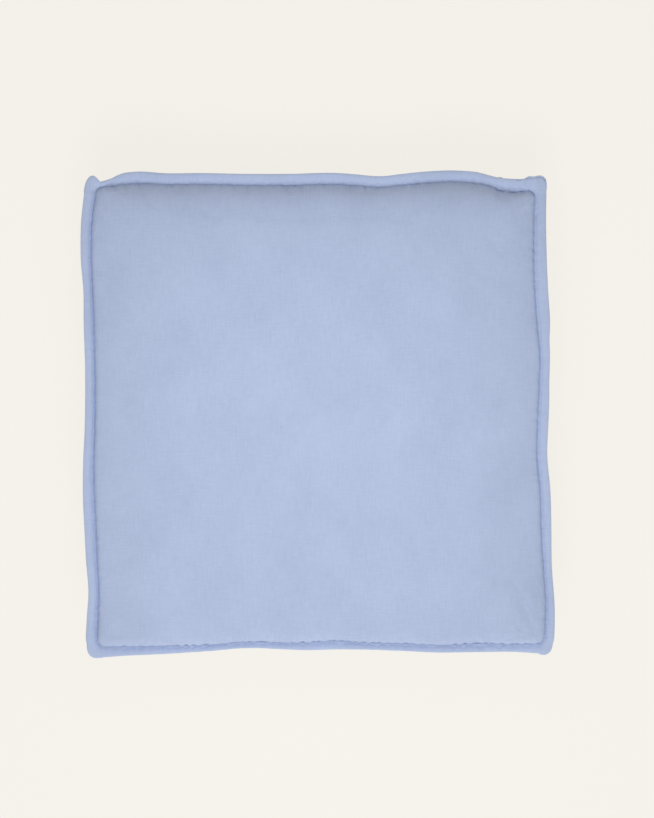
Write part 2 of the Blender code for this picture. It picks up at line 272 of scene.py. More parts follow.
def ring_faces(rows: int, count: int, first: int = 0) -> Array:
    """Faces between closed rows of vertices, facing up where rows go inwards.

    Args:
        rows: How many rows there are.
        count: How many vertices a row has.
        first: The first vertex's number.

    Returns:
        The faces as vertex numbers.
    """
    row = first + np.arange(rows - 1)[:, None] * count
    near, far = np.arange(count), (np.arange(count) + 1) % count
    return np.stack([row + near, row + far, row + far + count, row + near + count], -1).reshape(-1, 4)


def strip_faces(rows: int, count: int) -> Array:
    """Faces between open rows of vertices.

    Args:
        rows: How many rows there are.
        count: How many vertices a row has.

    Returns:
        The faces as vertex numbers.
    """
    row = np.arange(rows - 1)[:, None] * count
    near = np.arange(count - 1)
    faces = np.stack([row + near, row + near + 1, row + near + 1 + count, row + near + count], -1)
    return faces.reshape(-1, 4)


# The shape of the cushion


@dataclass(frozen=True)
class Side:
    """One side of the cushion as it lies, in millimetres along X or Y from its middle."""

    name: str
    out: tuple[int, int]
    seam: Curve  # how far the seam line wanders outwards
    reach: Curve  # how wide the top lip is, from above
    sink: float  # how much lower than the others its seam lies
    step: float  # how far the panel rises at once from its crease
    step_run: float  # over what distance
    roll: float  # how far in its rolled edge goes
    dome: float  # how much of the crown rises slowly behind it
    dome_run: float  # over what distance
    furrow: float  # how deep the crease is, as a share
    pucker: float  # how strongly its stitches draw the cloth, as a share

    def along(self, x: Array, y: Array) -> Array:
        """The place along this side."""
        return y if self.out[0] else x

    def depth(self, x: Array, y: Array, half: tuple[float, float]) -> Array:
        """How far in from this side a point is, given the seam's half width and half depth."""
        return (half[0] if self.out[0] else half[1]) - (x * self.out[0] + y * self.out[1])


FRONT = Side(
    name="front",
    out=(0, -1),
    seam=(
        (-290, 3.0), (-250, 3.5), (-210, 3.5), (-150, 3.0), (-90, 0.0), (-50, 1.5), (-20, 1.5),
        (20, 0.0), (60, 3.0), (110, 5.0), (150, 7.0), (210, 6.0), (250, 7.5), (290, 7.0),
    ),
    reach=(
        (-278, 14.0), (-250, 12.0), (-210, 10.8), (-150, 8.5), (-90, 8.0), (-50, 8.5), (-20, 10.0),
        (20, 11.0), (60, 9.0), (110, 9.5), (160, 10.0), (210, 11.0), (250, 10.0), (278, 12.5),
    ),
    sink=-3.5,
    step=16.2,
    step_run=1.2,
    roll=8.0,
    dome=4.6,
    dome_run=120.0,
    furrow=0.1,
    pucker=1.0,
)
RIGHT = Side(
    name="right",
    out=(1, 0),
    seam=(
        (-290, 1.5), (-250, 4.5), (-200, 2.0), (-150, 0.0), (-100, -1.0), (-60, -4.0), (-20, -3.0),
        (30, 0.0), (70, 1.5), (100, -1.0), (150, -4.0), (200, -5.0), (250, -4.0), (285, -2.5),
    ),
    reach=(
        (-280, 12.5), (-240, 10.5), (-200, 10.5), (-150, 12.5), (-60, 12.5), (-10, 13.5),
        (60, 12.0), (85, 13.0), (110, 16.0), (160, 16.5), (210, 16.0), (250, 15.0), (280, 14.5),
    ),
    sink=0.0,
    step=5.0,
    step_run=1.8,
    roll=22.0,
    dome=14.5,
    dome_run=85.0,
    furrow=1.0,
    pucker=0.4,
)
BACK = Side(
    name="back",
    out=(0, 1),
    seam=(
        (-280, -1.3), (-250, 2.7), (-230, 3.7), (-190, 1.7), (-150, 1.7), (-90, -0.3), (-30, -1.3),
        (30, -0.8), (50, -2.3), (90, -5.3), (110, -3.3), (150, -0.3), (185, 0.2), (210, -2.3),
        (226, -5.8), (240, -11.3), (255, -13.8), (280, -13.3),
    ),
    reach=(
        (-274, 7.8), (-266, 9.3), (-258, 11.8), (-250, 13.8), (-235, 14.8), (-200, 14.3),
        (0, 14.3), (90, 13.8), (150, 14.3), (200, 14.3), (210, 14.5), (226, 13.8), (240, 15.7),
        (255, 16.6), (270, 16.1), (280, 16.3),
    ),
    sink=5.0,
    step=2.0,
    step_run=1.6,
    roll=18.0,
    dome=4.5,
    dome_run=85.0,
    furrow=0.3,
    pucker=1.0,
)
LEFT = Side(
    name="left",
    out=(-1, 0),
    seam=(
        (-290, 0.5), (-250, -0.5), (-230, -1.5), (-190, 0.0), (-150, 1.0), (-90, 3.0), (-60, 3.0),
        (-20, 1.0), (30, 0.0), (90, 0.0), (150, 1.0), (210, 2.5), (250, 1.0), (285, -4.0),
    ),
    reach=(
        (-280, 15.0), (-230, 13.0), (-180, 14.0), (-120, 14.5), (-60, 13.0), (-10, 12.5),
        (60, 12.0), (120, 12.5), (160, 11.5), (200, 13.0), (250, 13.5), (280, 14.5),
    ),
    sink=0.0,
    step=7.0,
    step_run=2.2,
    roll=22.0,
    dome=13.5,
    dome_run=85.0,
    furrow=1.7,
    pucker=0.35,
)
SIDES = (FRONT, RIGHT, BACK, LEFT)

# How wide the top lip is round the corner after each side, by degrees of the turn
CORNERS: tuple[Curve, ...] = (
    ((22, 16.5), (40, 16.5), (60, 13.5)),
    ((17, 15.5), (33, 19.0), (56, 22.0), (75, 17.5)),
    ((4, 7.0), (13, 10.5), (21, 16.5), (31, 18.6), (43, 18.0), (62, 16.0)),
    ((14, 14.6), (30, 16.8), (44, 18.8), (58, 18.6), (74, 16.0)),
)


@dataclass
class Ring:
    """The stations round a rounded square, from the middle of the front left corner.

    A station has its place on a side, or its turn round a corner, and the direction outwards.
    """

    half: tuple[float, float]
    corner: float = 0.009  # the seam line's radius
    turn_steps: int = 16
    side_steps: int = 110
    side: Array = field(init=False)
    turn: Array = field(init=False)
    run: Array = field(init=False)

    def __post_init__(self) -> None:
        """Lists the stations, closer together towards the corners."""
        half_turn = self.turn_steps // 2
        even = np.linspace(-1, 1, self.side_steps + 1)
        straight = np.sin(even * np.pi / 2) * 0.35 + even * 0.65
        arc = np.linspace(0, 45, half_turn + 1)
        run = np.concatenate([np.full(half_turn, -1.0), straight, np.full(half_turn - 1, 1.0)])
        turn = np.concatenate([arc[:-1] - 45, np.zeros(len(straight)), arc[1:-1]])
        self.run = np.tile(run, 4)
        self.turn = np.tile(turn, 4)
        self.side = np.repeat(np.arange(4), len(run))

    @property
    def count(self) -> int:
        """How many stations there are."""
        return len(self.side)

    def outwards(self) -> Array:
        """The level direction outwards at each station, as (x, y)."""
        angle = np.radians(self.side * 90 - 90 + self.turn)
        return np.stack([np.cos(angle), np.sin(angle)], -1)

    def path(self, inset: float) -> Array:
        """(x, y) of each station at an inset, where the corners get rounder further in.

        Args:
            inset: How far in from the seam line.

        Returns:
            One row for each station.
        """
        radius = self.corner + 0.5 * max(inset, 0.0) - min(inset, 0.0)
        centre = np.array(self.half) - inset - radius
        out = self.outwards()
        straight = np.radians(self.side * 90 - 90)
        side_out = np.round(np.stack([np.cos(straight), np.sin(straight)], -1))
        side_on = np.stack([-side_out[:, 1], side_out[:, 0]], -1)
        return side_out * centre + side_on * centre * self.run[:, None] + out * radius


@dataclass
class Form:
    """The cushion's own shape: its seam lines, its crown and its lips, as functions of place."""

    half: tuple[float, float]  # of the seam lines
    top_seam: float
    bottom_seam: float
    crown_top: float
    seam_fade: float = 0.060  # how far in a wandering seam still shows
    belly: float = 0.0062
    bulge: float = 0.0045
    bulge_run: float = 0.0075
    lean_run: float = 0.036  # how far down the wall a wandering seam still shows

    def insets(self, x: Array, y: Array, corner: float) -> Array:
        """Finds the inset whose rounded square passes through each point.

        Args:
            x: Places across.
            y: Places along.
            corner: The seam line's corner radius.

        Returns:
            The inset of each point.
        """
        low, high = np.zeros_like(x), np.full_like(x, min(self.half))
        for _ in range(30):
            inset = (low + high) / 2
            radius = corner + 0.5 * inset
            qx = np.maximum(np.abs(x) - (self.half[0] - inset - radius), 0)
            qy = np.maximum(np.abs(y) - (self.half[1] - inset - radius), 0)
            outside = np.hypot(qx, qy) > radius
            high = np.where(outside, inset, high)
            low = np.where(outside, low, inset)
        return inset

    def sway(self, x: Array, y: Array) -> Array:
        """How far the wandering seams move a point, as (x, y)."""
        moved = np.zeros((len(x), 2))
        for side in SIDES:
            fade = np.exp(-np.maximum(side.depth(x, y, self.half), 0) / self.seam_fade)
            amount = eased(side.seam, side.along(x, y) / MM) * MM * fade
            moved += amount[:, None] * np.array(side.out)
        return moved

    def lean(self, x: Array, y: Array, z: Array, wander: float) -> Array:
        """How far the wandering seams move a point of the wall or of what is inside it.

        Args:
            x: Places across.
            y: Places along.
            z: Heights.
            wander: How much of the top seam's wandering the bottom seam has.

        Returns:
            One (x, y) row for each point.
        """
        top = np.clip(1 - (self.top_seam - z) / self.lean_run, 0, 1) ** 2
        bottom = np.clip(1 - (z - self.bottom_seam) / self.lean_run, 0, 1) ** 2
        return self.sway(x, y) * (top + wander * bottom)[:, None]

    def crest(self, x: Array, y: Array, inset: Array) -> Array:
        """The height of the outside of the top panel.

        Args:
            x: Places across.
            y: Places along.
            inset: How far in each point is.

        Returns:
            Heights.
        """
        total = np.zeros_like(x)
        height = np.zeros_like(x)
        for side in SIDES:
            near = np.exp(-np.maximum(side.depth(x, y, self.half), 0) / (0.018 + 0.4 * inset))
            rise = self.crown_top - self.crease(side)
            dome, run = side.dome * MM, side.dome_run * MM
            step = side.step * MM
            edge = rise - step - dome
            gained = step * (1 - np.exp(-inset / (side.step_run * MM)))
            gained += edge * (1 - np.exp(-inset / (side.roll * MM)))
            gained += dome * (1 - np.exp(-inset / run)) / (1 - math.exp(-self.half[0] / run))
            height += near * (self.crown_top - rise + gained)
            total += near
        return height / total

    def crease(self, side: Side) -> float:
        """The height of the crease between a side's lip and the top panel."""
        return self.top_seam + 1.1 * MM - side.sink * MM

    def keel(self, inset: Array) -> Array:
        """The height of the underside of the bottom panel."""
        return self.belly * np.exp(-np.maximum(inset, 0) / 0.010)


# The outside of one ply, tip first: the share of the lip's width, and the millimetres that it is
# off the lip's middle and that the middle is arched away from the cushion's
LIP_PROFILE = (
    (1.0, 0.12, 1.9), (0.985, 0.60, 1.9), (0.94, 1.00, 2.0), (0.80, 1.40, 2.2), (0.55, 1.50, 2.2),
    (0.34, 1.30, 1.8), (0.20, 1.00, 1.2), (0.09, 0.70, 0.1), (0.0, 0.80, -0.9),
)


@dataclass
class Lip:
    """A lip of two plies round one seam."""

    form: Form
    ring: Ring
    seam: float
    up: int
    tilt: float  # degrees from the level, away from the cushion's middle
    wander: float  # how much of the top seam's wandering it has

    def reaches(self) -> Array:
        """How far each station's tip stands out, seen from above."""
        reach = np.zeros(self.ring.count)
        centre = np.array(self.form.half) - self.ring.corner
        for index, side in enumerate(SIDES):
            on = (self.ring.side == index) & (self.ring.turn == 0)
            length = centre[1] if side.out[0] else centre[0]
            forward = 1 if side in (FRONT, RIGHT) else -1
            reach[on] = eased(side.reach, self.ring.run[on] * length * forward / MM)
        stations = np.arange(self.ring.count)
        for index, corner in enumerate(CORNERS):
            after = (index + 1) % len(SIDES)
            first = (self.ring.side == index) & (self.ring.turn > 0)
            second = (self.ring.side == after) & (self.ring.turn < 0)
            start = reach[stations[first][0] - 1]
            end = reach[(stations[second][-1] + 1) % self.ring.count]
            curve = ((0, start), *corner, (90, end))
            reach[first] = eased(curve, self.ring.turn[first])
            reach[second] = eased(curve, self.ring.turn[second] + 90)
        return reach * MM

    def furrows(self) -> Array:
        """How far each station's lip arches up from its crease, as a share."""
        depths = np.array([side.furrow for side in SIDES])[self.ring.side]
        wide = np.concatenate([depths[-24:], depths, depths[:24]])
        return np.convolve(wide, np.full(17, 1 / 17), "same")[24:-24]

    def frames(self) -> tuple[Array, Array, Array]:
        """The foot of each station, the way along its lip, and the way off its middle on the panel's side."""
        path = self.ring.path(0.0)
        path = path + self.form.sway(*path.T) * self.wander
        out = self.ring.outwards()
        foot = np.column_stack([path, self.heights()])
        angle = math.radians(self.tilt)
        count = self.ring.count
        along = np.column_stack([out * math.cos(angle), np.full(count, self.up * math.sin(angle))])
        off = np.column_stack([-out * math.sin(angle), np.full(count, self.up * math.cos(angle))])
        return foot, along, off

    def heights(self) -> Array:
        """The height of the seam at each station."""
        level = np.full(self.ring.count, self.seam)
        if self.up > 0:
            path = self.ring.path(0.0)
            level = self.form.crest(*path.T, np.zeros(self.ring.count)) - 0.5 * MM
        return level

    def ply(self, face: int, overhang: Array | float = 0.0, width: Array | None = None) -> list[Array]:
        """The outside of one ply, as rows of points from its tip to its foot.

        Args:
            face: 1 for the panel's ply and -1 for the boxing's.
            overhang: How much further out this ply stands at each station.
            width: The reach at each station, where it isn't the top lip's.

        Returns:
            One row of points for each place on the profile.
        """
        foot, along, off = self.frames()
        reach = (self.reaches() if width is None else width) + overhang
        length = reach / math.cos(math.radians(self.tilt))
        rows = []
        depth = self.furrows()
        for share, out, arch in LIP_PROFILE:
            lift = (face * out + arch * depth) * MM
            rows.append(foot + along * (share * length)[:, None] + off * lift[:, None])
        return rows


# Cloth


def settle(obj: bpy.types.Object, sewn: Array, pressure: float, growth: float, cap: float) -> None:
    """Lets a cloth settle under the filling's push and takes its movement back, up to a cap.

    Args:
        obj: The cloth, as one layer.
        sewn: How firmly each vertex is held, from 0 to 1.
        pressure: The push from inside.
        growth: How much larger the cloth is than the shape it was laid on, as a share.
        cap: The furthest that a point may move.
    """
    before, normals = points_of(obj), normals_of(obj)
    weigh(obj, "sewn", sewn)
    cloth = obj.modifiers.new("settle", "CLOTH")
    settings = cloth.settings
    settings.quality = 5
    settings.mass = 0.3
    settings.tension_stiffness = settings.compression_stiffness = 20
    settings.shear_stiffness = 8
    settings.bending_stiffness = 0.6
    settings.use_pressure = True
    settings.uniform_pressure_force = pressure
    settings.shrink_min = settings.shrink_max = -growth
    settings.vertex_group_mass = "sewn"
    settings.effector_weights.gravity = 0
    cloth.collision_settings.use_collision = False
    scene = bpy.context.scene
    frames = 20
    cloth.point_cache.frame_start, cloth.point_cache.frame_end = 1, frames
    for number in range(1, frames + 1):
        scene.frame_set(number)
    apply_modifiers(obj)
    moved = points_of(obj) - before
    inwards = -np.sum(moved * normals, axis=1)
    deepest = cap / 4
    too_deep = np.maximum(inwards - deepest * np.tanh(inwards / deepest), 0)
    moved += normals * too_deep[:, None]
    size = np.linalg.norm(moved, axis=1)
    log.info("%s settled by up to %.1f mm", obj.name, size.max() / MM)
    share = cap * np.tanh(size / cap) / np.maximum(size, 1e-9)
    move_points(obj, before + moved * share[:, None])
    obj.vertex_groups.remove(obj.vertex_groups["sewn"])
    scene.frame_set(1)


@dataclass
class Puckers:
    """Short creases that the stitches draw in the cloth beside a seam."""

    form: Form
    seed: int
    spacing: float = 9.0  # millimetres
    depth: float = 1.9
    length: float = 7.5

    def press(self, obj: bpy.types.Object, seam_height: float, level: bool) -> None:
        """Presses the creases into a piece of the cover.

        Args:
            obj: The piece.
            seam_height: The height of the seam that they start from.
            level: Whether the piece runs inwards from the seam, and not down.
        """
        points, normals = points_of(obj), normals_of(obj)
        x, y, z = points.T / MM
        half = tuple(h / MM for h in self.form.half)
        random = np.random.default_rng(self.seed)
        moved = np.zeros(len(points))
        for side in SIDES:
            along = side.along(x, y)
            outer = side.depth(x, y, half) + eased(side.seam, along)
            inwards = outer if level else np.abs(z - seam_height / MM)
            near = np.flatnonzero((np.abs(outer) < 30) & (inwards < 40))
            run = (half[1] if side.out[0] else half[0]) - 14
            at = -run
            while at < run:
                at += self.spacing * random.uniform(0.6, 1.6)
                slant, width = random.uniform(-0.2, 0.9), random.uniform(2.6, 4.4)
                length = self.length * random.uniform(0.5, 1.4)
                depth = side.pucker * self.depth * random.uniform(0.2, 1.0)
                d = inwards[near]
                across = (along[near] - at - slant * np.maximum(d, -3)) / width
                fade = np.exp(-((d / np.where(d > 0, length, 7)) ** 2))
                moved[near] -= depth * fade * np.exp(-(across**2))
        move_points(obj, points + normals * (moved * MM)[:, None])


@dataclass(frozen=True)
class Crease:
    """One hollow that lying and handling left in the cloth, in millimetres."""

    start: tuple[float, float]
    end: tuple[float, float]
    width: float
    depth: float

    def press(self, obj: bpy.types.Object) -> None:
        """Presses the hollow into a piece of the cover."""
        points, normals = points_of(obj), normals_of(obj)
        start, way = np.array(self.start), np.array(self.end) - np.array(self.start)
        offset = points[:, :2] / MM - start
        share = np.clip(offset @ way / (way @ way), 0, 1)
        away = np.linalg.norm(offset - share[:, None] * way, axis=1)
        move_points(obj, points - normals * (self.depth * MM * np.exp(-((away / self.width) ** 2)))[:, None])


def finish_piece(
    obj: bpy.types.Object,
    body: Body,
    slot: Slot,
    material: bpy.types.Material,
    *nodes: str,
) -> bpy.types.Object:
    """Dresses a piece and ties it to the frame.

    Args:
        obj: The piece.
        body: The body it rides on.
        slot: The record's slot of its finish; not used.
        material: Its material.
        nodes: The nodes that it stands for.

    Returns:
        The piece.
    """
    obj.data.materials.clear()
    obj.data.materials.append(material)
    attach(obj, body.value)
    if nodes:
        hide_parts(*nodes)
    log.info("%s: %d faces", obj.name, len(obj.data.polygons) if obj.type == "MESH" else 0)
    return obj


def sew(name: str, paths: Array, ways: Array, radius: float) -> bpy.types.Object:
    """Makes a row of single stitches.

    Args:
        name: The object's name.
        paths: The points of each stitch.
        ways: The direction off the cloth at each point.
        radius: The thread's.

    Returns:
        The stitches, as one mesh object.
    """
    points, faces = [], []
    for path, way in zip(paths, ways):
        tube_points, tube_faces = tube(path, radius, 5, way)
        faces.append(tube_faces + len(points) * len(tube_points))
        points.append(tube_points)
    return make_mesh(name, np.concatenate(points), np.concatenate(faces))


# Finishes


def linear(code: str) -> tuple[float, float, float, float]:
    """Turns an sRGB hex colour, such as "b6c4e1", to linear RGBA."""
    channels = [int(code[i : i + 2], 16) / 255 for i in (0, 2, 4)]
    curve = [c / 12.92 if c <= 0.04045 else ((c + 0.055) / 1.055) ** 2.4 for c in channels]
    return (*curve, 1.0)


def add_node(
    tree: bpy.types.NodeTree,
    kind: str,
    settings: dict[str, object] | None = None,
    inputs: dict[str | int, object] | None = None,
) -> bpy.types.Node:
    """Adds a shader node.

    Args:
        tree: The material's node tree.
        kind: The node's type, without "ShaderNode".
        settings: Its properties.
        inputs: What each input is set to, or the output that it is linked to.

    Returns:
        The node.
    """
    node = tree.nodes.new("ShaderNode" + kind)
    for name, value in (settings or {}).items():
        setattr(node, name, value)
    for name, value in (inputs or {}).items():
        if isinstance(value, bpy.types.NodeSocket):
            tree.links.new(value, node.inputs[name])
        else:
            node.inputs[name].default_value = value
    return node


def new_material(name: str) -> tuple[bpy.types.Material, bpy.types.NodeTree, bpy.types.Node]:
    """Makes a material with its Principled shader.

    Args:
        name: The material's name.

    Returns:
        The material, its node tree and its shader.
    """
    material = bpy.data.materials.new(name)
    material.use_nodes = True
    tree = material.node_tree
    return material, tree, tree.nodes["Principled BSDF"]


def weighted_sum(tree: bpy.types.NodeTree, parts: Sequence[tuple[object, float]]) -> object:
    """Adds up outputs, each times a weight.

    Args:
        tree: The material's node tree.
        parts: Pairs of an output and its weight.

    Returns:
        The output that holds the sum.
    """
    total: object = 0.0
    for output, weight in parts:
        inputs = {0: output, 1: weight, 2: total}
        total = add_node(tree, "Math", {"operation": "MULTIPLY_ADD"}, inputs).outputs[0]
    return total


def streaks(tree: bpy.types.NodeTree, place: object, size: Sequence[float], detail: float = 2.0) -> object:
    """Noise stretched to a size along each axis.

    Args:
        tree: The material's node tree.
        place: The output that holds the place.
        size: The size of a streak along each axis, in millimetres.
        detail: The noise's detail.

    Returns:
        The output that holds the noise, from 0 to 1.
    """
    scale = tuple(1000 / s for s in size)
    scaled = add_node(tree, "VectorMath", {"operation": "MULTIPLY"}, {0: place, 1: scale})
    settings = {"noise_dimensions": "3D"}
    inputs = {"Vector": scaled.outputs[0], "Scale": 1.0, "Detail": detail, "Roughness": 0.55}
    return add_node(tree, "TexNoise", settings, inputs).outputs[0]


def shade_between(
    tree: bpy.types.NodeTree,
    shader: bpy.types.Node,
    share: object,
    colours: tuple[str, str],
    grain: object,
    roughness: tuple[float, float],
) -> None:
    """Wires a colour and a roughness that vary over a material.

    Args:
        tree: The material's node tree.
        shader: Its shader.
        share: The output that says how far between the two colours.
        colours: The dark and the light colour.
        grain: The output that says how far between the two roughnesses.
        roughness: The least and the most.
    """
    inputs = {0: share, 6: linear(colours[0]), 7: linear(colours[1])}
    colour = add_node(tree, "Mix", {"data_type": "RGBA"}, inputs).outputs[2]
    tree.links.new(colour, shader.inputs["Base Color"])
    inputs = {"Value": grain, "To Min": roughness[0], "To Max": roughness[1]}
    rough = add_node(tree, "MapRange", inputs=inputs).outputs[0]
    tree.links.new(rough, shader.inputs["Roughness"])


def emboss(
    tree: bpy.types.NodeTree, shader: bpy.types.Node, height: object, strength: float, distance: float
) -> None:
    """Wires a fine relief.

    Args:
        tree: The material's node tree.
        shader: Its shader.
        height: The output that holds the relief.
        strength: How strongly it shows.
        distance: How deep it is.
    """
    inputs = {"Strength": strength, "Distance": distance, "Height": height}
    bump = add_node(tree, "Bump", inputs=inputs).outputs[0]
    tree.links.new(bump, shader.inputs["Normal"])


@dataclass(frozen=True)
class WovenCloth:
    """A plain weave, whose warp and weft show as crossed streaks of thicker and thinner yarn.

    Yarns are 0.5 to 0.6 mm apart, which is too fine to show, so they are drawn at yarn's width.
    """

    name: str
    dark: str
    light: str
    yarn: float
    slub: float
    relief: float
    roughness: float
    sheen: float

    def material(self) -> bpy.types.Material:
        """Makes the material."""
        material, tree, shader = new_material(self.name)
        grain = add_node(tree, "Attribute", {"attribute_name": "grain"}).outputs["Vector"]
        yarn, slub = self.yarn, self.slub
        warp = streaks(tree, grain, (yarn, yarn * 9, 1000))
        weft = streaks(tree, grain, (yarn * 8, yarn, 1000))
        thick_warp = streaks(tree, grain, (slub, slub * 9, 1000), 3.0)
        thick_weft = streaks(tree, grain, (slub * 8, slub * 0.9, 1000), 3.0)
        wash = streaks(tree, grain, (70.0, 90.0, 1000), 2.0)
        mix = weighted_sum(
            tree,
            ((warp, 0.8), (weft, 0.8), (thick_warp, 1.1), (thick_weft, 1.0), (wash, 1.2)),
        )
        share = add_node(
            tree,
            "MapRange",
            inputs={"Value": mix, "From Min": 1.75, "From Max": 3.15, "To Min": 0.0, "To Max": 1.0},
        ).outputs[0]
        roughness = (self.roughness - 0.06, self.roughness + 0.05)
        shade_between(tree, shader, share, (self.dark, self.light), weft, roughness)
        relief = weighted_sum(tree, ((warp, 0.5), (weft, 0.5), (thick_warp, 0.8), (thick_weft, 0.8)))
        emboss(tree, shader, relief, self.relief, 0.0006)
        shader.inputs["IOR"].default_value = 1.45
        shader.inputs["Specular IOR Level"].default_value = 0.25
        shader.inputs["Sheen Weight"].default_value = self.sheen
        shader.inputs["Sheen Roughness"].default_value = 0.6
        return material


@dataclass(frozen=True)
class Grainy:
    """A finish whose colour and relief vary in grains: foam cells, felted fibre, twist or plating."""

    name: str
    dark: str
    light: str
    size: tuple[float, float, float]  # millimetres
    relief: float
    roughness: float
    metallic: float = 0.0
    sheen: float = 0.0

    def material(self) -> bpy.types.Material:
        """Makes the material."""
        material, tree, shader = new_material(self.name)
        place = add_node(tree, "TexCoord").outputs["Object"]
        grain = streaks(tree, place, self.size, 3.0)
        share = add_node(
            tree, "MapRange", inputs={"Value": grain, "From Min": 0.3, "From Max": 0.7}
        ).outputs[0]
        roughness = (max(self.roughness - 0.08, 0.05), self.roughness + 0.05)
        shade_between(tree, shader, share, (self.dark, self.light), grain, roughness)
        emboss(tree, shader, grain, self.relief, min(self.size) * MM / 3)
        shader.inputs["Metallic"].default_value = self.metallic
        shader.inputs["Sheen Weight"].default_value = self.sheen
        return material


# Washed linen and cotton: matt, a little hairy, with slubs that catch the light.
LINEN = WovenCloth("washed_linen_plain_weave", "a8b6d5", "b8c6e5", 0.9, 2.4, 0.35, 0.88, 0.12)
# Unbleached cotton calico: matt and flat, with a warm cast and small dark seed flecks.
CALICO = WovenCloth("unbleached_cotton_calico", "ded8ca", "f1ece0", 0.8, 2.6, 0.3, 0.9, 0.05)
# Polyester zip tape, woven: a tight ribbed weave with a faint sheen.
TAPE = Grainy("woven_polyester_zip_tape", "a0aed0", "b4c2e2", (9.0, 0.7, 0.7), 0.5, 0.72, sheen=0.1)
# Spun polyester thread: two plies twisted, slightly shiny.
THREAD = Grainy("spun_polyester_thread", "a9b7d8", "c0cdea", (0.5, 0.5, 0.5), 0.4, 0.55, sheen=0.1)
# Polyester wadding: bonded crimped fibre, white and cloudy.
WADDING = Grainy("bonded_polyester_wadding", "e6e7e6", "fbfbfa", (6, 6, 2), 0.6, 0.95, sheen=0.2)
# Cut polyurethane foam: open cells, yellowing cream.
FOAM = Grainy("cut_polyurethane_foam", "dccf9f", "efe6c4", (1.6, 1.6, 1.6), 0.7, 0.95)
# Extruded nylon monofilament, dyed: smooth, with a soft shine.
COIL = Grainy("dyed_nylon_monofilament", "a6b4d6", "b9c7e8", (1.5, 3.0, 3.0), 0.1, 0.35)
# Nickel-plated zinc die casting, tumbled: bright, with fine scratches.
NICKEL = Grainy("tumbled_nickel_plate", "b9b9b5", "cfcfca", (1.2, 0.4, 0.4), 0.15, 0.28, metallic=1.0)


# Cover pieces


def centre_net(border: Array, first: int) -> tuple[Array, Array]:
    """Fills a closed row of level points with a net of squares.

    Args:
        border: (x, y) of its points, from a corner, with as many on each side.
        first: The number of its first vertex; the new vertices come after its last.

    Returns:
        (x, y) of the new vertices, and the faces as vertex numbers.
    """
    m = len(border) // 4
    loop = np.vstack([border, border[:1]])
    low, right = loop[: m + 1], loop[m : 2 * m + 1]
    high, left = loop[2 * m : 3 * m + 1][::-1], loop[3 * m :][::-1]
    share = np.linspace(0, 1, m + 1)
    u, v = (s[..., None] for s in np.meshgrid(share, share))
    net = (1 - v) * low[None] + v * high[None] + (1 - u) * left[:, None] + u * right[:, None]
    net -= (1 - v) * ((1 - u) * low[0] + u * low[-1]) + v * ((1 - u) * high[0] + u * high[-1])
    steps = np.arange(m + 1)
    numbers = np.zeros((m + 1, m + 1), int)
    numbers[0], numbers[:, m] = steps, m + steps
    numbers[m], numbers[:, 0] = 3 * m - steps, (4 * m - steps) % (4 * m)
    numbers[1:m, 1:m] = 4 * m + np.arange((m - 1) ** 2).reshape(m - 1, m - 1)
    numbers += first
    faces = np.stack([numbers[:-1, :-1], numbers[:-1, 1:], numbers[1:, 1:], numbers[1:, :-1]], -1)
    return net[1:m, 1:m].reshape(-1, 2), faces.reshape(-1, 4)


@dataclass
class Panel:
    """The top or bottom panel, from the tip of its ply of the lip to its level middle."""

    name: str
    node: str
    form: Form
    ring: Ring
    lip: Lip
    insets: tuple[float, ...]  # of its rings, in millimetres
    creases: tuple[Crease, ...] = ()
    ply: float = 0.0008

    def top_heights(self, x: Array, y: Array) -> Array:
        """The height of the outside of the panel at each place."""
        inset = self.form.insets(x, y, self.ring.corner)
        if self.lip.up > 0:
            return self.form.crest(x, y, inset)
        return self.form.keel(inset)

    def surface(self, level: Array) -> Array:
        """Places level points on the panel, with the wandering of its seam."""
        moved = level + self.form.sway(*level.T) * self.lip.wander
        return np.column_stack([moved, self.top_heights(*level.T)])

    def build(self, material: bpy.types.Material) -> bpy.types.Object:
        """Builds, settles and dresses the panel.

        Args:
            material: Its cloth.

        Returns:
            The piece.
        """
        width = None if self.lip.up > 0 else np.full(self.ring.count, BOTTOM_REACH)
        rows = self.lip.ply(1, width=width)
        held = [np.ones(self.ring.count)] * len(rows)
        for inset in self.insets:
            rows.append(self.surface(self.ring.path(inset * MM)))
            held.append(np.full(self.ring.count, max(0.0, 1 - inset / 9)))
        border = self.ring.path(self.insets[-1] * MM)
        first = (len(rows) - 1) * self.ring.count
        level, net = centre_net(border, first)
        points = np.concatenate([*rows, self.surface(level)])
        faces = np.concatenate([ring_faces(len(rows), self.ring.count), net])
        if self.lip.up < 0:
            faces = faces[:, ::-1]
        obj = make_mesh(self.name, points, faces)
        thin = np.ones(len(points))
        thin[: self.ring.count], thin[self.ring.count : 2 * self.ring.count] = 0.0, 0.6
        if self.lip.up > 0:
            sewn = np.concatenate([*held, np.zeros(len(level))])
            settle(obj, sewn, pressure=2.0, growth=0.005, cap=0.0008)
        weigh(obj, "thin", thin)
        set_grain(obj, points_of(obj)[:, :2])
        if self.lip.up > 0:
            split_rows(obj, self.ring.count, len(LIP_PROFILE) + FINE_ROWS, 2)
        Puckers(self.form, seed=11 if self.lip.up > 0 else 12).press(obj, self.lip.seam, True)
        for crease in self.creases:
            crease.press(obj)
        thicken(obj, self.ply)
        return finish_piece(obj, Body.CUSHION, Slot.LINEN, material, self.node)


# Near the front right corner of the top panel
CREASES = (
    Crease((260, -240), (261, -260), 5.5, 3.0),
    Crease((246, -295), (259, -280), 3.4, 1.3),
    Crease((272, -274), (273, -287), 3.0, 1.0),
)

# Places down the wall from the top seam to the bottom seam, as shares of its height
WALL_ROWS = (
    0.012, 0.026, 0.045, 0.075, 0.12, 0.18, 0.26, 0.37, 0.5,
    0.63, 0.74, 0.82, 0.88, 0.925, 0.955, 0.974, 0.988,
)
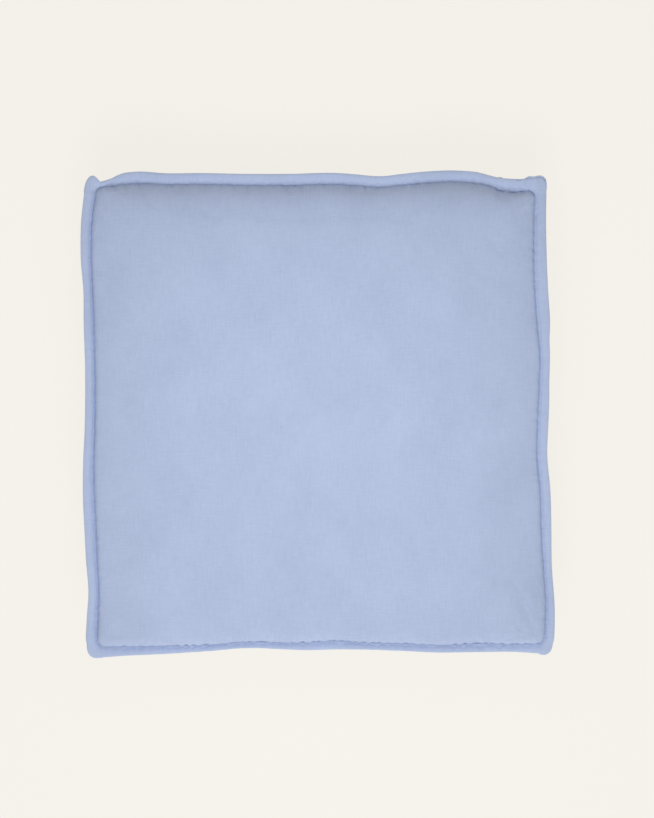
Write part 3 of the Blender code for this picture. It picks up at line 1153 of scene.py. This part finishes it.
# The same for a back strip, from its lip to its edge along the zip
SLOT_ROWS = (0.03, 0.06, 0.10, 0.17, 0.27, 0.40, 0.56, 0.72, 0.84, 0.93, 0.985, 1.0)


@dataclass
class Boxing:
    """The strips of cloth round the side, each from lip to lip, seamed at the corners."""

    form: Form
    ring: Ring
    top: Lip
    bottom: Lip
    middle: float
    flat: float  # how far the wall beside the zip stands out from the seam line
    slot: float = 0.0105  # the opening over the zip
    slot_reach: float = 0.256  # half its length
    ply: float = 0.0008

    def stations(self, index: int) -> Array:
        """The station numbers of one side, from corner to corner."""
        per_side = self.ring.count // 4
        return (np.arange(per_side + 1) + index * per_side) % self.ring.count

    def wall_row(self, index: int, heights: Array) -> Array:
        """A row of the wall on one side.

        Args:
            index: The side's number.
            heights: The row's height at each station.

        Returns:
            The row's points.
        """
        form, picked = self.form, self.stations(index)
        path = self.ring.path(0.0)
        path, out = path[picked], self.ring.outwards()[picked]
        top = np.maximum(form.top_seam - heights, 0)
        bottom = np.maximum(heights - form.bottom_seam, 0)
        stand = (1 - np.exp(-top / form.bulge_run)) * (1 - np.exp(-bottom / form.bulge_run))
        stand *= form.bulge if SIDES[index] is not BACK else self.flat
        if SIDES[index] is not BACK:
            stand += 0.0012 * np.sin(np.pi * np.clip(bottom / (top + bottom), 0, 1))
        stand[[0, -1]] -= 0.0007
        moved = path + out * stand[:, None] + form.lean(*path.T, heights, self.bottom.wander)
        return np.column_stack([moved, heights])

    def strip(self, name: str, index: int, rows: list[Array], held: Array) -> bpy.types.Object:
        """Skins a strip, settles it and gives it its thickness.

        Args:
            name: The piece's name.
            index: The side's number.
            rows: Its rows of points, from the top down.
            held: How firmly each row is held.

        Returns:
            The piece, not yet dressed.
        """
        grid = np.array(rows)
        count = grid.shape[1]
        obj = make_mesh(name, grid.reshape(-1, 3), strip_faces(len(rows), count)[:, ::-1])
        firm = np.repeat(held[:, None], count, 1)
        firm[:, [0, -1]] = 1.0
        firm[:, [1, -2]] = np.maximum(firm[:, [1, -2]], 0.6)
        settle(obj, firm.ravel(), pressure=2.0, growth=0.008, cap=0.0025)
        across = np.cumsum(np.linalg.norm(np.diff(grid[len(rows) // 2], axis=0), axis=1))
        down = np.cumsum(np.linalg.norm(np.diff(grid[:, count // 2], axis=0), axis=1))
        u, v = np.meshgrid(np.append(0, across), np.append(0, down))
        set_grain(obj, np.stack([u.ravel() + index * 0.7, v.ravel()], -1))
        split_rows(obj, count, len(rows), 1)
        Puckers(self.form, 20 + index, spacing=11).press(obj, self.form.top_seam, False)
        Puckers(self.form, 30 + index, spacing=12).press(obj, self.form.bottom_seam, False)
        thicken(obj, self.ply)
        return obj

    def build(self, material: bpy.types.Material) -> list[bpy.types.Object]:
        """Builds and dresses the five strips.

        Args:
            material: Their cloth.

        Returns:
            The pieces.
        """
        overhang = self.overhang()
        top_rows = self.top.ply(-1, overhang)
        width = np.full(self.ring.count, BOTTOM_REACH)
        bottom_rows = self.bottom.ply(-1, width=width)[::-1]
        pieces = []
        for index, side in enumerate(SIDES):
            picked = self.stations(index)
            upper = [row[picked] for row in top_rows]
            lower = [row[picked] for row in bottom_rows]
            high, low = upper[-1][:, 2], lower[0][:, 2]
            lips = np.ones(len(upper))
            if side is not BACK:
                walls = [self.wall_row(index, high + (low - high) * share) for share in WALL_ROWS]
                held = np.array([max(0, 1 - min(s, 1 - s) / 0.06) for s in WALL_ROWS])
                rows, held = upper + walls + lower, np.concatenate([lips, held, lips])
                obj = self.strip("linen_boxing_" + side.name, index, rows, held)
                pieces.append(finish_piece(obj, Body.CUSHION, Slot.LINEN, material, "boxing_" + side.name))
                continue
            x = self.ring.path(0.0)[picked][:, 0]
            inside = 1 / (1 + np.exp((np.abs(x) - self.slot_reach) / 0.0012))
            shares = np.array(SLOT_ROWS)
            held = np.clip(np.maximum(1 - shares / 0.12, (shares - 0.5) / 0.2), 0, 1)
            for end, up, start in (("upper", 1, high), ("lower", -1, low)):
                edge = self.middle + up * (BUTT_GAP + inside * (self.slot / 2 - BUTT_GAP))
                walls = [self.wall_row(index, start + (edge - start) * share) for share in shares]
                if up > 0:
                    rows, firm = upper + walls, np.concatenate([lips, held])
                else:
                    rows, firm = walls[::-1] + lower, np.concatenate([held[::-1], lips])
                obj = self.strip("linen_boxing_back_" + end, index, rows, firm)
                node = "boxing_back_" + end
                pieces.append(finish_piece(obj, Body.CUSHION, Slot.LINEN, material, node))
        return pieces

    def overhang(self) -> Array:
        """How far the boxing's ply peeks out past the panel's at each station of the top lip."""
        ring = self.ring
        reach = np.zeros(ring.count)
        on_back = ring.side == SIDES.index(BACK)
        x = ring.path(0.0)[:, 0]
        reach[on_back] = eased(((274, 0.0), (276.5, 2.4), (280, 2.2)), x[on_back] / MM)
        before = (ring.side == SIDES.index(RIGHT)) & (ring.turn > 0)
        reach[before] = eased(((15, 0.0), (44, 1.8)), ring.turn[before])
        return reach * MM


# Stitching


@dataclass
class LipStitching:
    """The lockstitches at the foot of a lip, as a needle thread and a bobbin thread."""

    lip: Lip
    width: Array | None
    pitch: float = 0.0032
    thread: float = 0.00026  # radius
    search: float = 0.0016  # how far off its line the cloth is looked for
    stray: float = 0.0003  # how far a stitch may lie off its neighbours

    def build(
        self, name: str, node: str, face: int, over: list[bpy.types.Object], material: bpy.types.Material
    ) -> None:
        """Sews one side of the lip.

        Args:
            name: The piece's name.
            node: The node that it stands for.
            face: 1 for the panel's side and -1 for the boxing's.
            over: The pieces of cloth that it lies on.
            material: The thread's.
        """
        points, faces, count = [], [], 0
        for obj in over:
            points.append(points_of(obj))
            faces += [tuple(v + count for v in p.vertices) for p in obj.data.polygons]
            count += len(points[-1])
        tree = BVHTree.FromPolygons(np.concatenate(points).tolist(), faces)
        line = self.lip.ply(face, width=self.width)[-2]
        off = self.lip.frames()[2] * face
        loop = np.vstack([line, line[:1]])
        lengths = np.append(0, np.cumsum(np.linalg.norm(np.diff(loop, axis=0), axis=1)))
        number = round(lengths[-1] / self.pitch)
        ups = np.vstack([off, off[:1]])
        shares = np.linspace(0.04, 0.96, 5)
        rises = np.array((-0.25, 0.16, 0.24, 0.16, -0.25)) * MM
        at = (np.arange(number)[:, None] + shares).ravel() * lengths[-1] / number
        spots = np.column_stack([np.interp(at, lengths, loop[:, i]) for i in range(3)])
        ways = np.column_stack([np.interp(at, lengths, ups[:, i]) for i in range(3)])
        lifts = np.array([self.lift(tree, spot, way) for spot, way in zip(spots, ways)])
        around = np.median([np.roll(lifts, step) for step in range(-12, 13)], axis=0)
        lifts = np.clip(lifts, around - self.stray, around + self.stray)
        laid = (spots + ways * (lifts + np.tile(rises, number))[:, None]).reshape(number, -1, 3)
        obj = sew(name, laid, ways.reshape(laid.shape), self.thread)
        finish_piece(obj, Body.CUSHION, Slot.THREAD, material, node)

    def lift(self, tree: BVHTree, spot: Array, way: Array) -> float:
        """How far off the lip's own line the cloth lies at a spot."""
        hit = tree.ray_cast(Vector(spot + way * self.search), Vector(-way), 2 * self.search)
        return self.search - hit[3] if hit[0] else 0.0


# Inner cushion


@dataclass
class InnerCushion:
    """The foam core in two sheets of wadding, in a calico cover of two halves."""

    form: Form
    ring: Ring
    middle: float
    cover_depth: float = 0.0034
    side_depth: float = 0.0040
    calico: float = 0.0007
    gap: float = 0.0004
    wadding: float = 0.0072
    edge: float = 0.0085  # radius of the softened edges

    def rows(self, up: int, depth: float, meet: float) -> tuple[list[Array], Array]:
        """One half of a layer's outside, from its side inwards.

        Args:
            up: 1 for the top half and -1 for the bottom half.
            depth: How deep the layer is below the outside of the cover.
            meet: The height where its two halves meet.

        Returns:
            Its rows of points, and (x, y) of the last row.
        """
        side = self.side_depth + depth - self.cover_depth
        base = self.ring.path(side)
        rows = [np.column_stack([base, np.full(self.ring.count, meet)])]
        low = self.heights(base, up, depth) - up * self.edge
        rows += [np.column_stack([base, meet + (low - meet) * share]) for share in (0.3, 0.6, 0.85)]
        for turn in np.radians((0, 22, 45, 68, 90)):
            path = self.ring.path(side + self.edge * (1 - math.cos(turn)))
            level = self.heights(path, up, depth) - up * self.edge * (1 - math.sin(turn))
            rows.append(np.column_stack([path, level]))
        for extra in (0.006, 0.014, 0.024, 0.036):
            path = self.ring.path(side + self.edge + extra)
            rows.append(np.column_stack([path, self.heights(path, up, depth)]))
        return [self.leaning(row) for row in rows], path

    def leaning(self, points: Array) -> Array:
        """Moves points as the seams of the cover lean."""
        x, y, z = points.T
        return points + np.column_stack([self.form.lean(x, y, z, BOTTOM_WANDER), np.zeros(len(x))])

    def heights(self, level: Array, up: int, depth: float) -> Array:
        """The height of a layer at level points."""
        inset = self.form.insets(*level.T, self.ring.corner)
        if up > 0:
            return self.form.crest(*level.T, inset) - depth
        return self.form.keel(inset) + depth

    def half(self, name: str, up: int, depth: float, thickness: float) -> bpy.types.Object:
        """Builds one half of a layer that goes round the core."""
        rows, border = self.rows(up, depth, self.middle + up * BUTT_GAP)
        level, net = centre_net(border, (len(rows) - 1) * self.ring.count)
        inner = self.leaning(np.column_stack([level, self.heights(level, up, depth)]))
        faces = np.concatenate([ring_faces(len(rows), self.ring.count), net])
        obj = make_mesh(name, np.concatenate([*rows, inner]), faces if up > 0 else faces[:, ::-1])
        set_grain(obj, points_of(obj)[:, :2])
        thicken(obj, thickness)
        return obj

    def core(self, name: str, depth: float) -> bpy.types.Object:
        """Builds the foam core as one closed block with softened edges."""
        upper, border = self.rows(1, depth, self.middle)
        lower, _ = self.rows(-1, depth, self.middle)
        rows = lower[::-1] + upper[1:]
        count = self.ring.count
        level, net = centre_net(border, (len(rows) - 1) * count)
        top = self.leaning(np.column_stack([level, self.heights(level, 1, depth)]))
        floor = self.leaning(np.column_stack([level, self.heights(level, -1, depth)]))
        points = np.concatenate([*rows, top, floor])
        below = centre_net(border, 0)[1][:, ::-1]
        below = np.where(below >= count, below + (len(rows) - 1) * count + len(level), below)
        faces = np.concatenate([ring_faces(len(rows), count), net, below])
        return make_mesh(name, points, faces)

    def build(
        self, calico: bpy.types.Material, wadding: bpy.types.Material, foam: bpy.types.Material
    ) -> None:
        """Builds and dresses the three layers.

        Args:
            calico: The inner cover's cloth.
            wadding: The wadding's material.
            foam: The core's material.
        """
        wadding_depth = self.cover_depth + self.calico + self.gap
        core_depth = wadding_depth + self.wadding + self.gap
        for end, up in (("top", 1), ("bottom", -1)):
            obj = self.half("calico_cover_" + end, up, self.cover_depth, self.calico)
            finish_piece(obj, Body.CUSHION, Slot.CALICO, calico, "inner_cover_" + end)
            obj = self.half("wadding_sheet_" + end, up, wadding_depth, self.wadding)
            finish_piece(obj, Body.CUSHION, Slot.WADDING, wadding, "wadding_" + end)
        obj = self.core("foam_block", core_depth)
        finish_piece(obj, Body.CUSHION, Slot.FOAM, foam, "foam_core")


# Zip. A place on it is (u, v, w): u along +X, v up from the middle, w out from the tapes' face.


@dataclass
class Zip:
    """A coil zip in the middle of the back, with its slider and pull."""

    origin: Vector  # of (u, v, w)
    coil_low: Vector
    coil_high: Vector
    slider_at: float
    pitch: float = 0.0016
    wire: float = 0.00027  # radius

    def place(self, points: Array) -> Array:
        """Turns (u, v, w) to (x, y, z)."""
        return points[:, [0, 2, 1]] + np.array(self.origin)

    def coil(self, name: str, up: int, material: bpy.types.Material) -> None:
        """Winds one coil of monofilament.

        Args:
            name: Which half it is.
            up: 1 for the upper half and -1 for the lower half.
            material: The monofilament's.
        """
        low, high = self.coil_low - self.origin, self.coil_high - self.origin
        half_v, half_w = (high.z - low.z) / 2 - self.wire, (high.y - low.y) / 2 - self.wire
        start, end = low.x + self.wire, high.x - self.wire
        per_turn = 9
        turns = round((end - start) / self.pitch)
        angle = 2 * np.pi * np.arange(turns * per_turn + 1) / per_turn
        u = start + (end - start) * angle / angle[-1]
        middle_v, middle_w = (high.z + low.z) / 2, (high.y + low.y) / 2
        v = up * (middle_v - half_v * np.cos(angle))
        w = middle_w + half_w * np.sin(angle)
        centre = self.place(np.column_stack([u, v, w]))
        up_way = np.column_stack([np.zeros_like(u), np.sin(angle), -up * np.cos(angle)])
        points, faces = tube(centre, self.wire, 5, up_way)
        obj = make_mesh("zip_coil_wound_" + name, points, faces)
        finish_piece(obj, Body.CUSHION, Slot.COIL, material, "zip_coil_" + name)

    def plate(self, name: str, loops: list[Array], low: float, high: float, edge: float) -> bpy.types.Object:
        """Makes a plate with softened edges from loops of (u, v), the inner ones being holes.

        Args:
            name: The object's name.
            loops: Its outline and its holes.
            low: Its lower face, in w.
            high: Its upper face, in w.
            edge: The size of its softened edges.

        Returns:
            The plate, in place.
        """
        data = bpy.data.curves.new(name, "CURVE")
        data.dimensions = "2D"
        data.fill_mode = "BOTH"
        data.extrude = (high - low) / 2
        for loop in loops:
            spline = data.splines.new("POLY")
            spline.points.add(len(loop) - 1)
            spots = np.column_stack([loop, np.zeros(len(loop)), np.ones(len(loop))])
            spline.points.foreach_set("co", spots.ravel())
            spline.use_cyclic_u = True
        source = add_object(name + "_outline", data)
        graph = bpy.context.evaluated_depsgraph_get()
        mesh = bpy.data.meshes.new_from_object(source.evaluated_get(graph))
        bpy.data.objects.remove(source)
        shape = bmesh.new()
        shape.from_mesh(mesh)
        bmesh.ops.remove_doubles(shape, verts=shape.verts, dist=1e-6)
        for vert in shape.verts:
            u, v, w = vert.co
            vert.co = self.origin + Vector((u, w + (low + high) / 2, v))
        bmesh.ops.dissolve_limit(shape, angle_limit=0.02, verts=shape.verts, edges=shape.edges)
        bmesh.ops.recalc_face_normals(shape, faces=shape.faces)
        sharp = [e for e in shape.edges if e.calc_face_angle(0) > math.radians(60)]
        bmesh.ops.bevel(
            shape, geom=sharp, offset=edge, segments=2, profile=0.5, affect="EDGES", clamp_overlap=True
        )
        bmesh.ops.triangulate(shape, faces=[f for f in shape.faces if len(f.verts) > 4])
        shape.to_mesh(mesh)
        shape.free()
        return add_object(name, mesh)

    def rounded(self, low: tuple[float, float], high: tuple[float, float], corner: float) -> Array:
        """A rectangle of (u, v) with rounded corners, counter-clockwise."""
        points = []
        for index in range(4):
            right, top = index in (0, 1), index in (1, 2)
            u = high[0] - corner if right else low[0] + corner
            v = high[1] - corner if top else low[1] + corner
            for turn in np.radians(np.linspace(-90, 0, 5) + 90 * index):
                points.append((u + corner * math.cos(turn), v + corner * math.sin(turn)))
        return np.array(points)

    def slider(self, material: bpy.types.Material) -> None:
        """Casts the slider: two plates, their post, the cheeks beside the coils and the bail."""
        low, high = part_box("zip_slider")
        low, high = low - self.origin, high - self.origin
        at, half = self.slider_at, high.z
        top, plate = 3.8 * MM, 1.0 * MM
        shoulder, nose = at + 2.5 * MM, 0.75 * half
        back_low, back_top = low.y, low.y + plate
        outline = self.rounded((low.x, -half), (high.x, half), 1.6 * MM)
        past = np.clip((outline[:, 0] - shoulder) / (high.x - shoulder), 0, 1)
        outline[:, 1] *= 1 - past * (1 - nose / half)
        parts = [
            self.plate("plate_front", [outline], top - plate, top, 0.3 * MM),
            self.plate("plate_back", [outline], back_low, back_top, 0.3 * MM),
        ]
        post = self.rounded((shoulder, -0.34 * MM), (high.x - 1.3 * MM, 0.34 * MM), 0.15 * MM)
        parts.append(self.plate("post", [post], back_top - 0.3 * MM, top - 0.7 * plate, 0.05 * MM))
        for up in (1, -1):
            edges = sorted((up * (half - 0.95 * MM), up * half))
            cheek = self.rounded((low.x + 0.6 * MM, edges[0]), (shoulder, edges[1]), 0.25 * MM)
            parts.append(self.plate("cheek", [cheek], 0.45 * MM, top - 0.7 * plate, 0.15 * MM))
        bend, wire = 1.5 * MM, 0.6 * MM
        reach, crown = 3.6 * MM, high.y - wire
        line = [(-reach, top - 0.3 * MM)]
        for turn in np.radians(np.linspace(180, 90, 6)):
            line.append((-reach + bend + bend * math.cos(turn), crown - bend + bend * math.sin(turn)))
        line += [(-u, w) for u, w in reversed(line)]
        centre = np.array([(at + u, 0.0, w) for u, w in line])
        points, faces = tube(centre, wire, 10, np.tile((0.0, 1.0, 0.0), (len(centre), 1)))
        points[:, 1] *= 1.9
        parts.append(make_mesh("bail", self.place(points), faces))
        obj = join("zip_slider_cast", parts)
        finish_piece(obj, Body.SLIDER, Slot.METAL, material, "zip_slider")

    def pull(self, material: bpy.types.Material) -> None:
        """Stamps the pull: a flat tab with an eye for the bail and a round hole near its end."""
        low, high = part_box("zip_pull")
        low, high = low - self.origin, high - self.origin
        half, bar = high.z, 0.8 * MM
        outline = self.rounded((low.x, -half), (high.x, half), half * 0.96)
        square = self.rounded((low.x, -half), (high.x, half), bar)
        near = outline[:, 0] > low.x + half * 1.2
        outline[near] = square[near]
        eye_end = self.slider_at - 5.5 * MM
        eye = self.rounded((eye_end, -1.6 * MM), (high.x - 2 * bar, 1.6 * MM), 0.6 * MM)
        turns = np.linspace(0, 2 * np.pi, 24, endpoint=False)
        centre = low.x + 4.3 * MM
        hole = np.column_stack([centre + 1.5 * MM * np.cos(turns), 1.5 * MM * np.sin(turns)])
        obj = self.plate("zip_pull_tab", [outline, eye, hole], low.y, high.y, 0.22 * MM)
        smooth(obj)
        finish_piece(obj, Body.PULL, Slot.METAL, material, "zip_pull")

    def stitching(self, thread: bpy.types.Material) -> None:
        """Sews the boxing to the tapes, with a loop of single stitches round the slot."""
        low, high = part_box("zip_stitching")
        radius, pitch, corner = 0.26 * MM, 3.2 * MM, 2.0 * MM
        out = (low.y + high.y) / 2 - self.origin.y
        low, high = low - self.origin, high - self.origin
        inset = 0.3 * MM
        loop = self.rounded((low.x + inset, low.z + inset), (high.x - inset, high.z - inset), corner)
        loop = np.vstack([loop, loop[:1]])
        lengths = np.append(0, np.cumsum(np.linalg.norm(np.diff(loop, axis=0), axis=1)))
        number = round(lengths[-1] / pitch)
        shares = np.linspace(0.05, 0.95, 5)
        rises = np.array((-0.35, 0.0, 0.08, 0.0, -0.35)) * MM
        at = (np.arange(number)[:, None] + shares).ravel() * lengths[-1] / number
        line = [np.interp(at, lengths, loop[:, i]) for i in range(2)]
        laid = self.place(np.column_stack([*line, out + np.tile(rises, number)])).reshape(number, -1, 3)
        obj = sew("zip_topstitching", laid, np.broadcast_to((0.0, 1.0, 0.0), laid.shape), radius)
        finish_piece(obj, Body.CUSHION, Slot.THREAD, thread, "zip_stitching")

    def build(
        self,
        coil: bpy.types.Material,
        metal: bpy.types.Material,
        tape: bpy.types.Material,
        thread: bpy.types.Material,
    ) -> None:
        """Builds the zip and dresses the parts of it that keep their own shape.

        Args:
            coil: The coils' material.
            metal: The slider's, the pull's and the stops' material.
            tape: The tapes' material.
            thread: The stitching's material.
        """
        self.coil("upper", 1, coil)
        self.coil("lower", -1, coil)
        self.slider(metal)
        self.pull(metal)
        self.stitching(thread)
        for name in ("zip_tape_upper", "zip_tape_lower"):
            dress_node(name, tape)
        for name in ("zip_top_stop_upper", "zip_top_stop_lower", "zip_bottom_stop"):
            dress_node(name, metal)


# Studio


@dataclass
class Studio:
    """A pale floor with a low rim, two soft lights and an even sky, and a camera straight above."""

    # (radius, height) of the floor's rings: level, then curving up to a low rim far away
    floor: Curve = ((8.0, 0.0), (9.0, 0.06), (10.0, 0.3), (11.0, 0.9), (11.6, 1.6), (12.0, 2.6))
    floor_colour: str = "5b5a59"  # darker than it looks, because it also glows
    floor_glow: float = 0.82
    sky: float = 0.395
    key_power: float = 39.0
    key_distance: float = 3.0
    key_size: float = 1.2
    key_elevation: float = 53.0
    key_azimuth: float = -92.0
    top_power: float = 1.27
    top_at: tuple[float, float, float] = (0.0, 0.08, 0.72)
    top_size: float = 0.5
    lens: float = 85.0
    camera_at: tuple[float, float, float] = (0.0123, 0.0037, 2.60)
    camera_turn: float = -0.77

    def build(self) -> None:
        """Sets up the floor, the lights and the camera."""
        scene = bpy.context.scene
        scene.view_settings.view_transform = "Standard"
        angle = np.linspace(0, 2 * np.pi, 96, endpoint=False)
        around = np.column_stack([np.cos(angle), np.sin(angle)])
        rings = [np.column_stack([around * r, np.full(96, z - 0.0006)]) for r, z in self.floor[::-1]]
        middle = [(0.0, 0.0, -0.0006)]
        last = (len(rings) - 1) * 96
        fan = [(last + i, last + (i + 1) % 96, len(rings) * 96) for i in range(96)]
        faces = ring_faces(len(rings), 96).tolist() + fan
        mesh = bpy.data.meshes.new("floor")
        mesh.from_pydata(np.vstack([*rings, middle]).tolist(), [], faces)
        mesh.shade_smooth()
        floor = add_object("floor", mesh)
        floor.data.materials.append(self.floor_material())
        world = bpy.data.worlds.new("sky")
        scene.world = world
        world.use_nodes = True
        background = world.node_tree.nodes["Background"]
        background.inputs["Color"].default_value = linear("fffefb")
        background.inputs["Strength"].default_value = self.sky
        turn, rise = math.radians(self.key_azimuth), math.radians(self.key_elevation)
        way = Vector((math.cos(turn) * math.cos(rise), math.sin(turn) * math.cos(rise), math.sin(rise)))
        self.lamp("key", way * self.key_distance, self.key_power, self.key_size)
        self.lamp("overhead", Vector(self.top_at), self.top_power, self.top_size)
        lens = bpy.data.cameras.new("camera")
        lens.lens = self.lens
        lens.sensor_width = 36.0
        camera = add_object("camera", lens)
        camera.location = self.camera_at
        camera.rotation_euler = (0, 0, math.radians(self.camera_turn))
        scene.camera = camera

    def lamp(self, name: str, place: Vector, power: float, size: float) -> None:
        """Hangs a square soft light that faces the cushion.

        Args:
            name: The light's name.
            place: Where it hangs.
            power: In watts.
            size: Its side.
        """
        light = bpy.data.lights.new(name, "AREA")
        light.energy = power
        light.size = size
        lamp = add_object(name, light)
        lamp.location = place
        lamp.rotation_euler = place.to_track_quat("Z", "Y").to_euler()
        lamp.visible_camera = False

    def floor_material(self) -> bpy.types.Material:
        """Matt emulsion paint, rolled: an even cream with a faint orange-peel relief."""
        material, tree, shader = new_material("rolled_matt_emulsion")
        place = add_node(tree, "TexCoord").outputs["Object"]
        grain = streaks(tree, place, (3.0, 3.0, 3.0), 2.0)
        emboss(tree, shader, grain, 0.04, 0.0005)
        shader.inputs["Base Color"].default_value = linear(self.floor_colour)
        shader.inputs["Roughness"].default_value = 0.9
        shader.inputs["Specular IOR Level"].default_value = 0.1
        shader.inputs["Emission Color"].default_value = linear("fffcf4")
        shader.inputs["Emission Strength"].default_value = self.floor_glow
        return material


def smooth(obj: bpy.types.Object) -> None:
    """Shades a hard piece smooth, with its sharp edges kept."""
    obj.data.shade_smooth()
    obj.data.set_sharp_from_angle(angle=math.radians(35))


def join(name: str, parts: list[bpy.types.Object]) -> bpy.types.Object:
    """Joins hard parts to one piece.

    Args:
        name: The piece's name.
        parts: The parts, which are removed.

    Returns:
        The piece.
    """
    shape = bmesh.new()
    for part in parts:
        shape.from_mesh(part.data)
        bpy.data.objects.remove(part)
    mesh = bpy.data.meshes.new(name)
    shape.to_mesh(mesh)
    shape.free()
    obj = add_object(name, mesh)
    smooth(obj)
    return obj


def dress_node(name: str, material: bpy.types.Material) -> None:
    """Gives a part that keeps the frame's own shape its material.

    Args:
        name: The node's name.
        material: Its material.
    """
    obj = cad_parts[name]
    for slot in obj.material_slots:
        slot.material = material
    log.info("%s: dressed", name)


def main() -> None:
    """Builds the cushion piece by piece, and the studio round it."""
    logging.basicConfig(level=logging.INFO, format="%(name)s: %(message)s")
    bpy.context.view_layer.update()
    Studio().build()

    linen, thread, calico = LINEN.material(), THREAD.material(), CALICO.material()
    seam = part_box("bobbin_thread_top")
    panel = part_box("top_panel")
    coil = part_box("zip_coil_upper")
    lower_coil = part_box("zip_coil_lower")
    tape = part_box("zip_tape_upper")
    slider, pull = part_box("zip_slider"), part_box("zip_pull")
    middle = (coil[0].z + lower_coil[1].z) / 2

    form = Form(SEAM_HALF, TOP_SEAM, BOTTOM_SEAM, crown_top=panel[1].z - CROWN_EASE)
    ring = Ring(SEAM_HALF)
    top_lip = Lip(form, ring, form.top_seam, up=1, tilt=7.0, wander=1.0)
    bottom_lip = Lip(form, ring, form.bottom_seam, up=-1, tilt=5.0, wander=BOTTOM_WANDER)
    insets = (0.5, 1.2, 2.2, 3.5, 5.2, 7.5, 10.5, 14.0, 18.0, 23.0, 29.0, 36.0, 44.0)
    coarse = Ring(SEAM_HALF, side_steps=56)
    top = Panel("linen_top_panel", "top_panel", form, ring, top_lip, insets, CREASES).build(linen)
    under_lip = Lip(form, coarse, form.bottom_seam, up=-1, tilt=5.0, wander=BOTTOM_WANDER)
    bottom = Panel("linen_bottom_panel", "bottom_panel", form, coarse, under_lip, insets).build(linen)
    flat = tape[1].y + TAPE_COVER - SEAM_HALF[1]
    strips = Boxing(form, ring, top_lip, bottom_lip, middle, flat).build(linen)

    bottom_width = np.full(ring.count, BOTTOM_REACH)
    for end, lip, width, cloth in (
        ("top", top_lip, None, top), ("bottom", bottom_lip, bottom_width, bottom)
    ):
        seams = LipStitching(lip, width)
        seams.build("lockstitch_needle_" + end, "needle_thread_" + end, 1, [cloth], thread)
        seams.build("lockstitch_bobbin_" + end, "bobbin_thread_" + end, -1, strips, thread)

    inner = InnerCushion(form, Ring(SEAM_HALF, side_steps=40), middle)
    inner.build(calico, WADDING.material(), FOAM.material())
    origin = Vector((0.0, tape[1].y, middle))
    Zip(
        origin,
        coil[0],
        coil[1],
        slider_at=(slider[0].x + slider[1].x) / 2,
    ).build(COIL.material(), NICKEL.material(), TAPE.material(), thread)


if __name__ == "__main__":
    main()
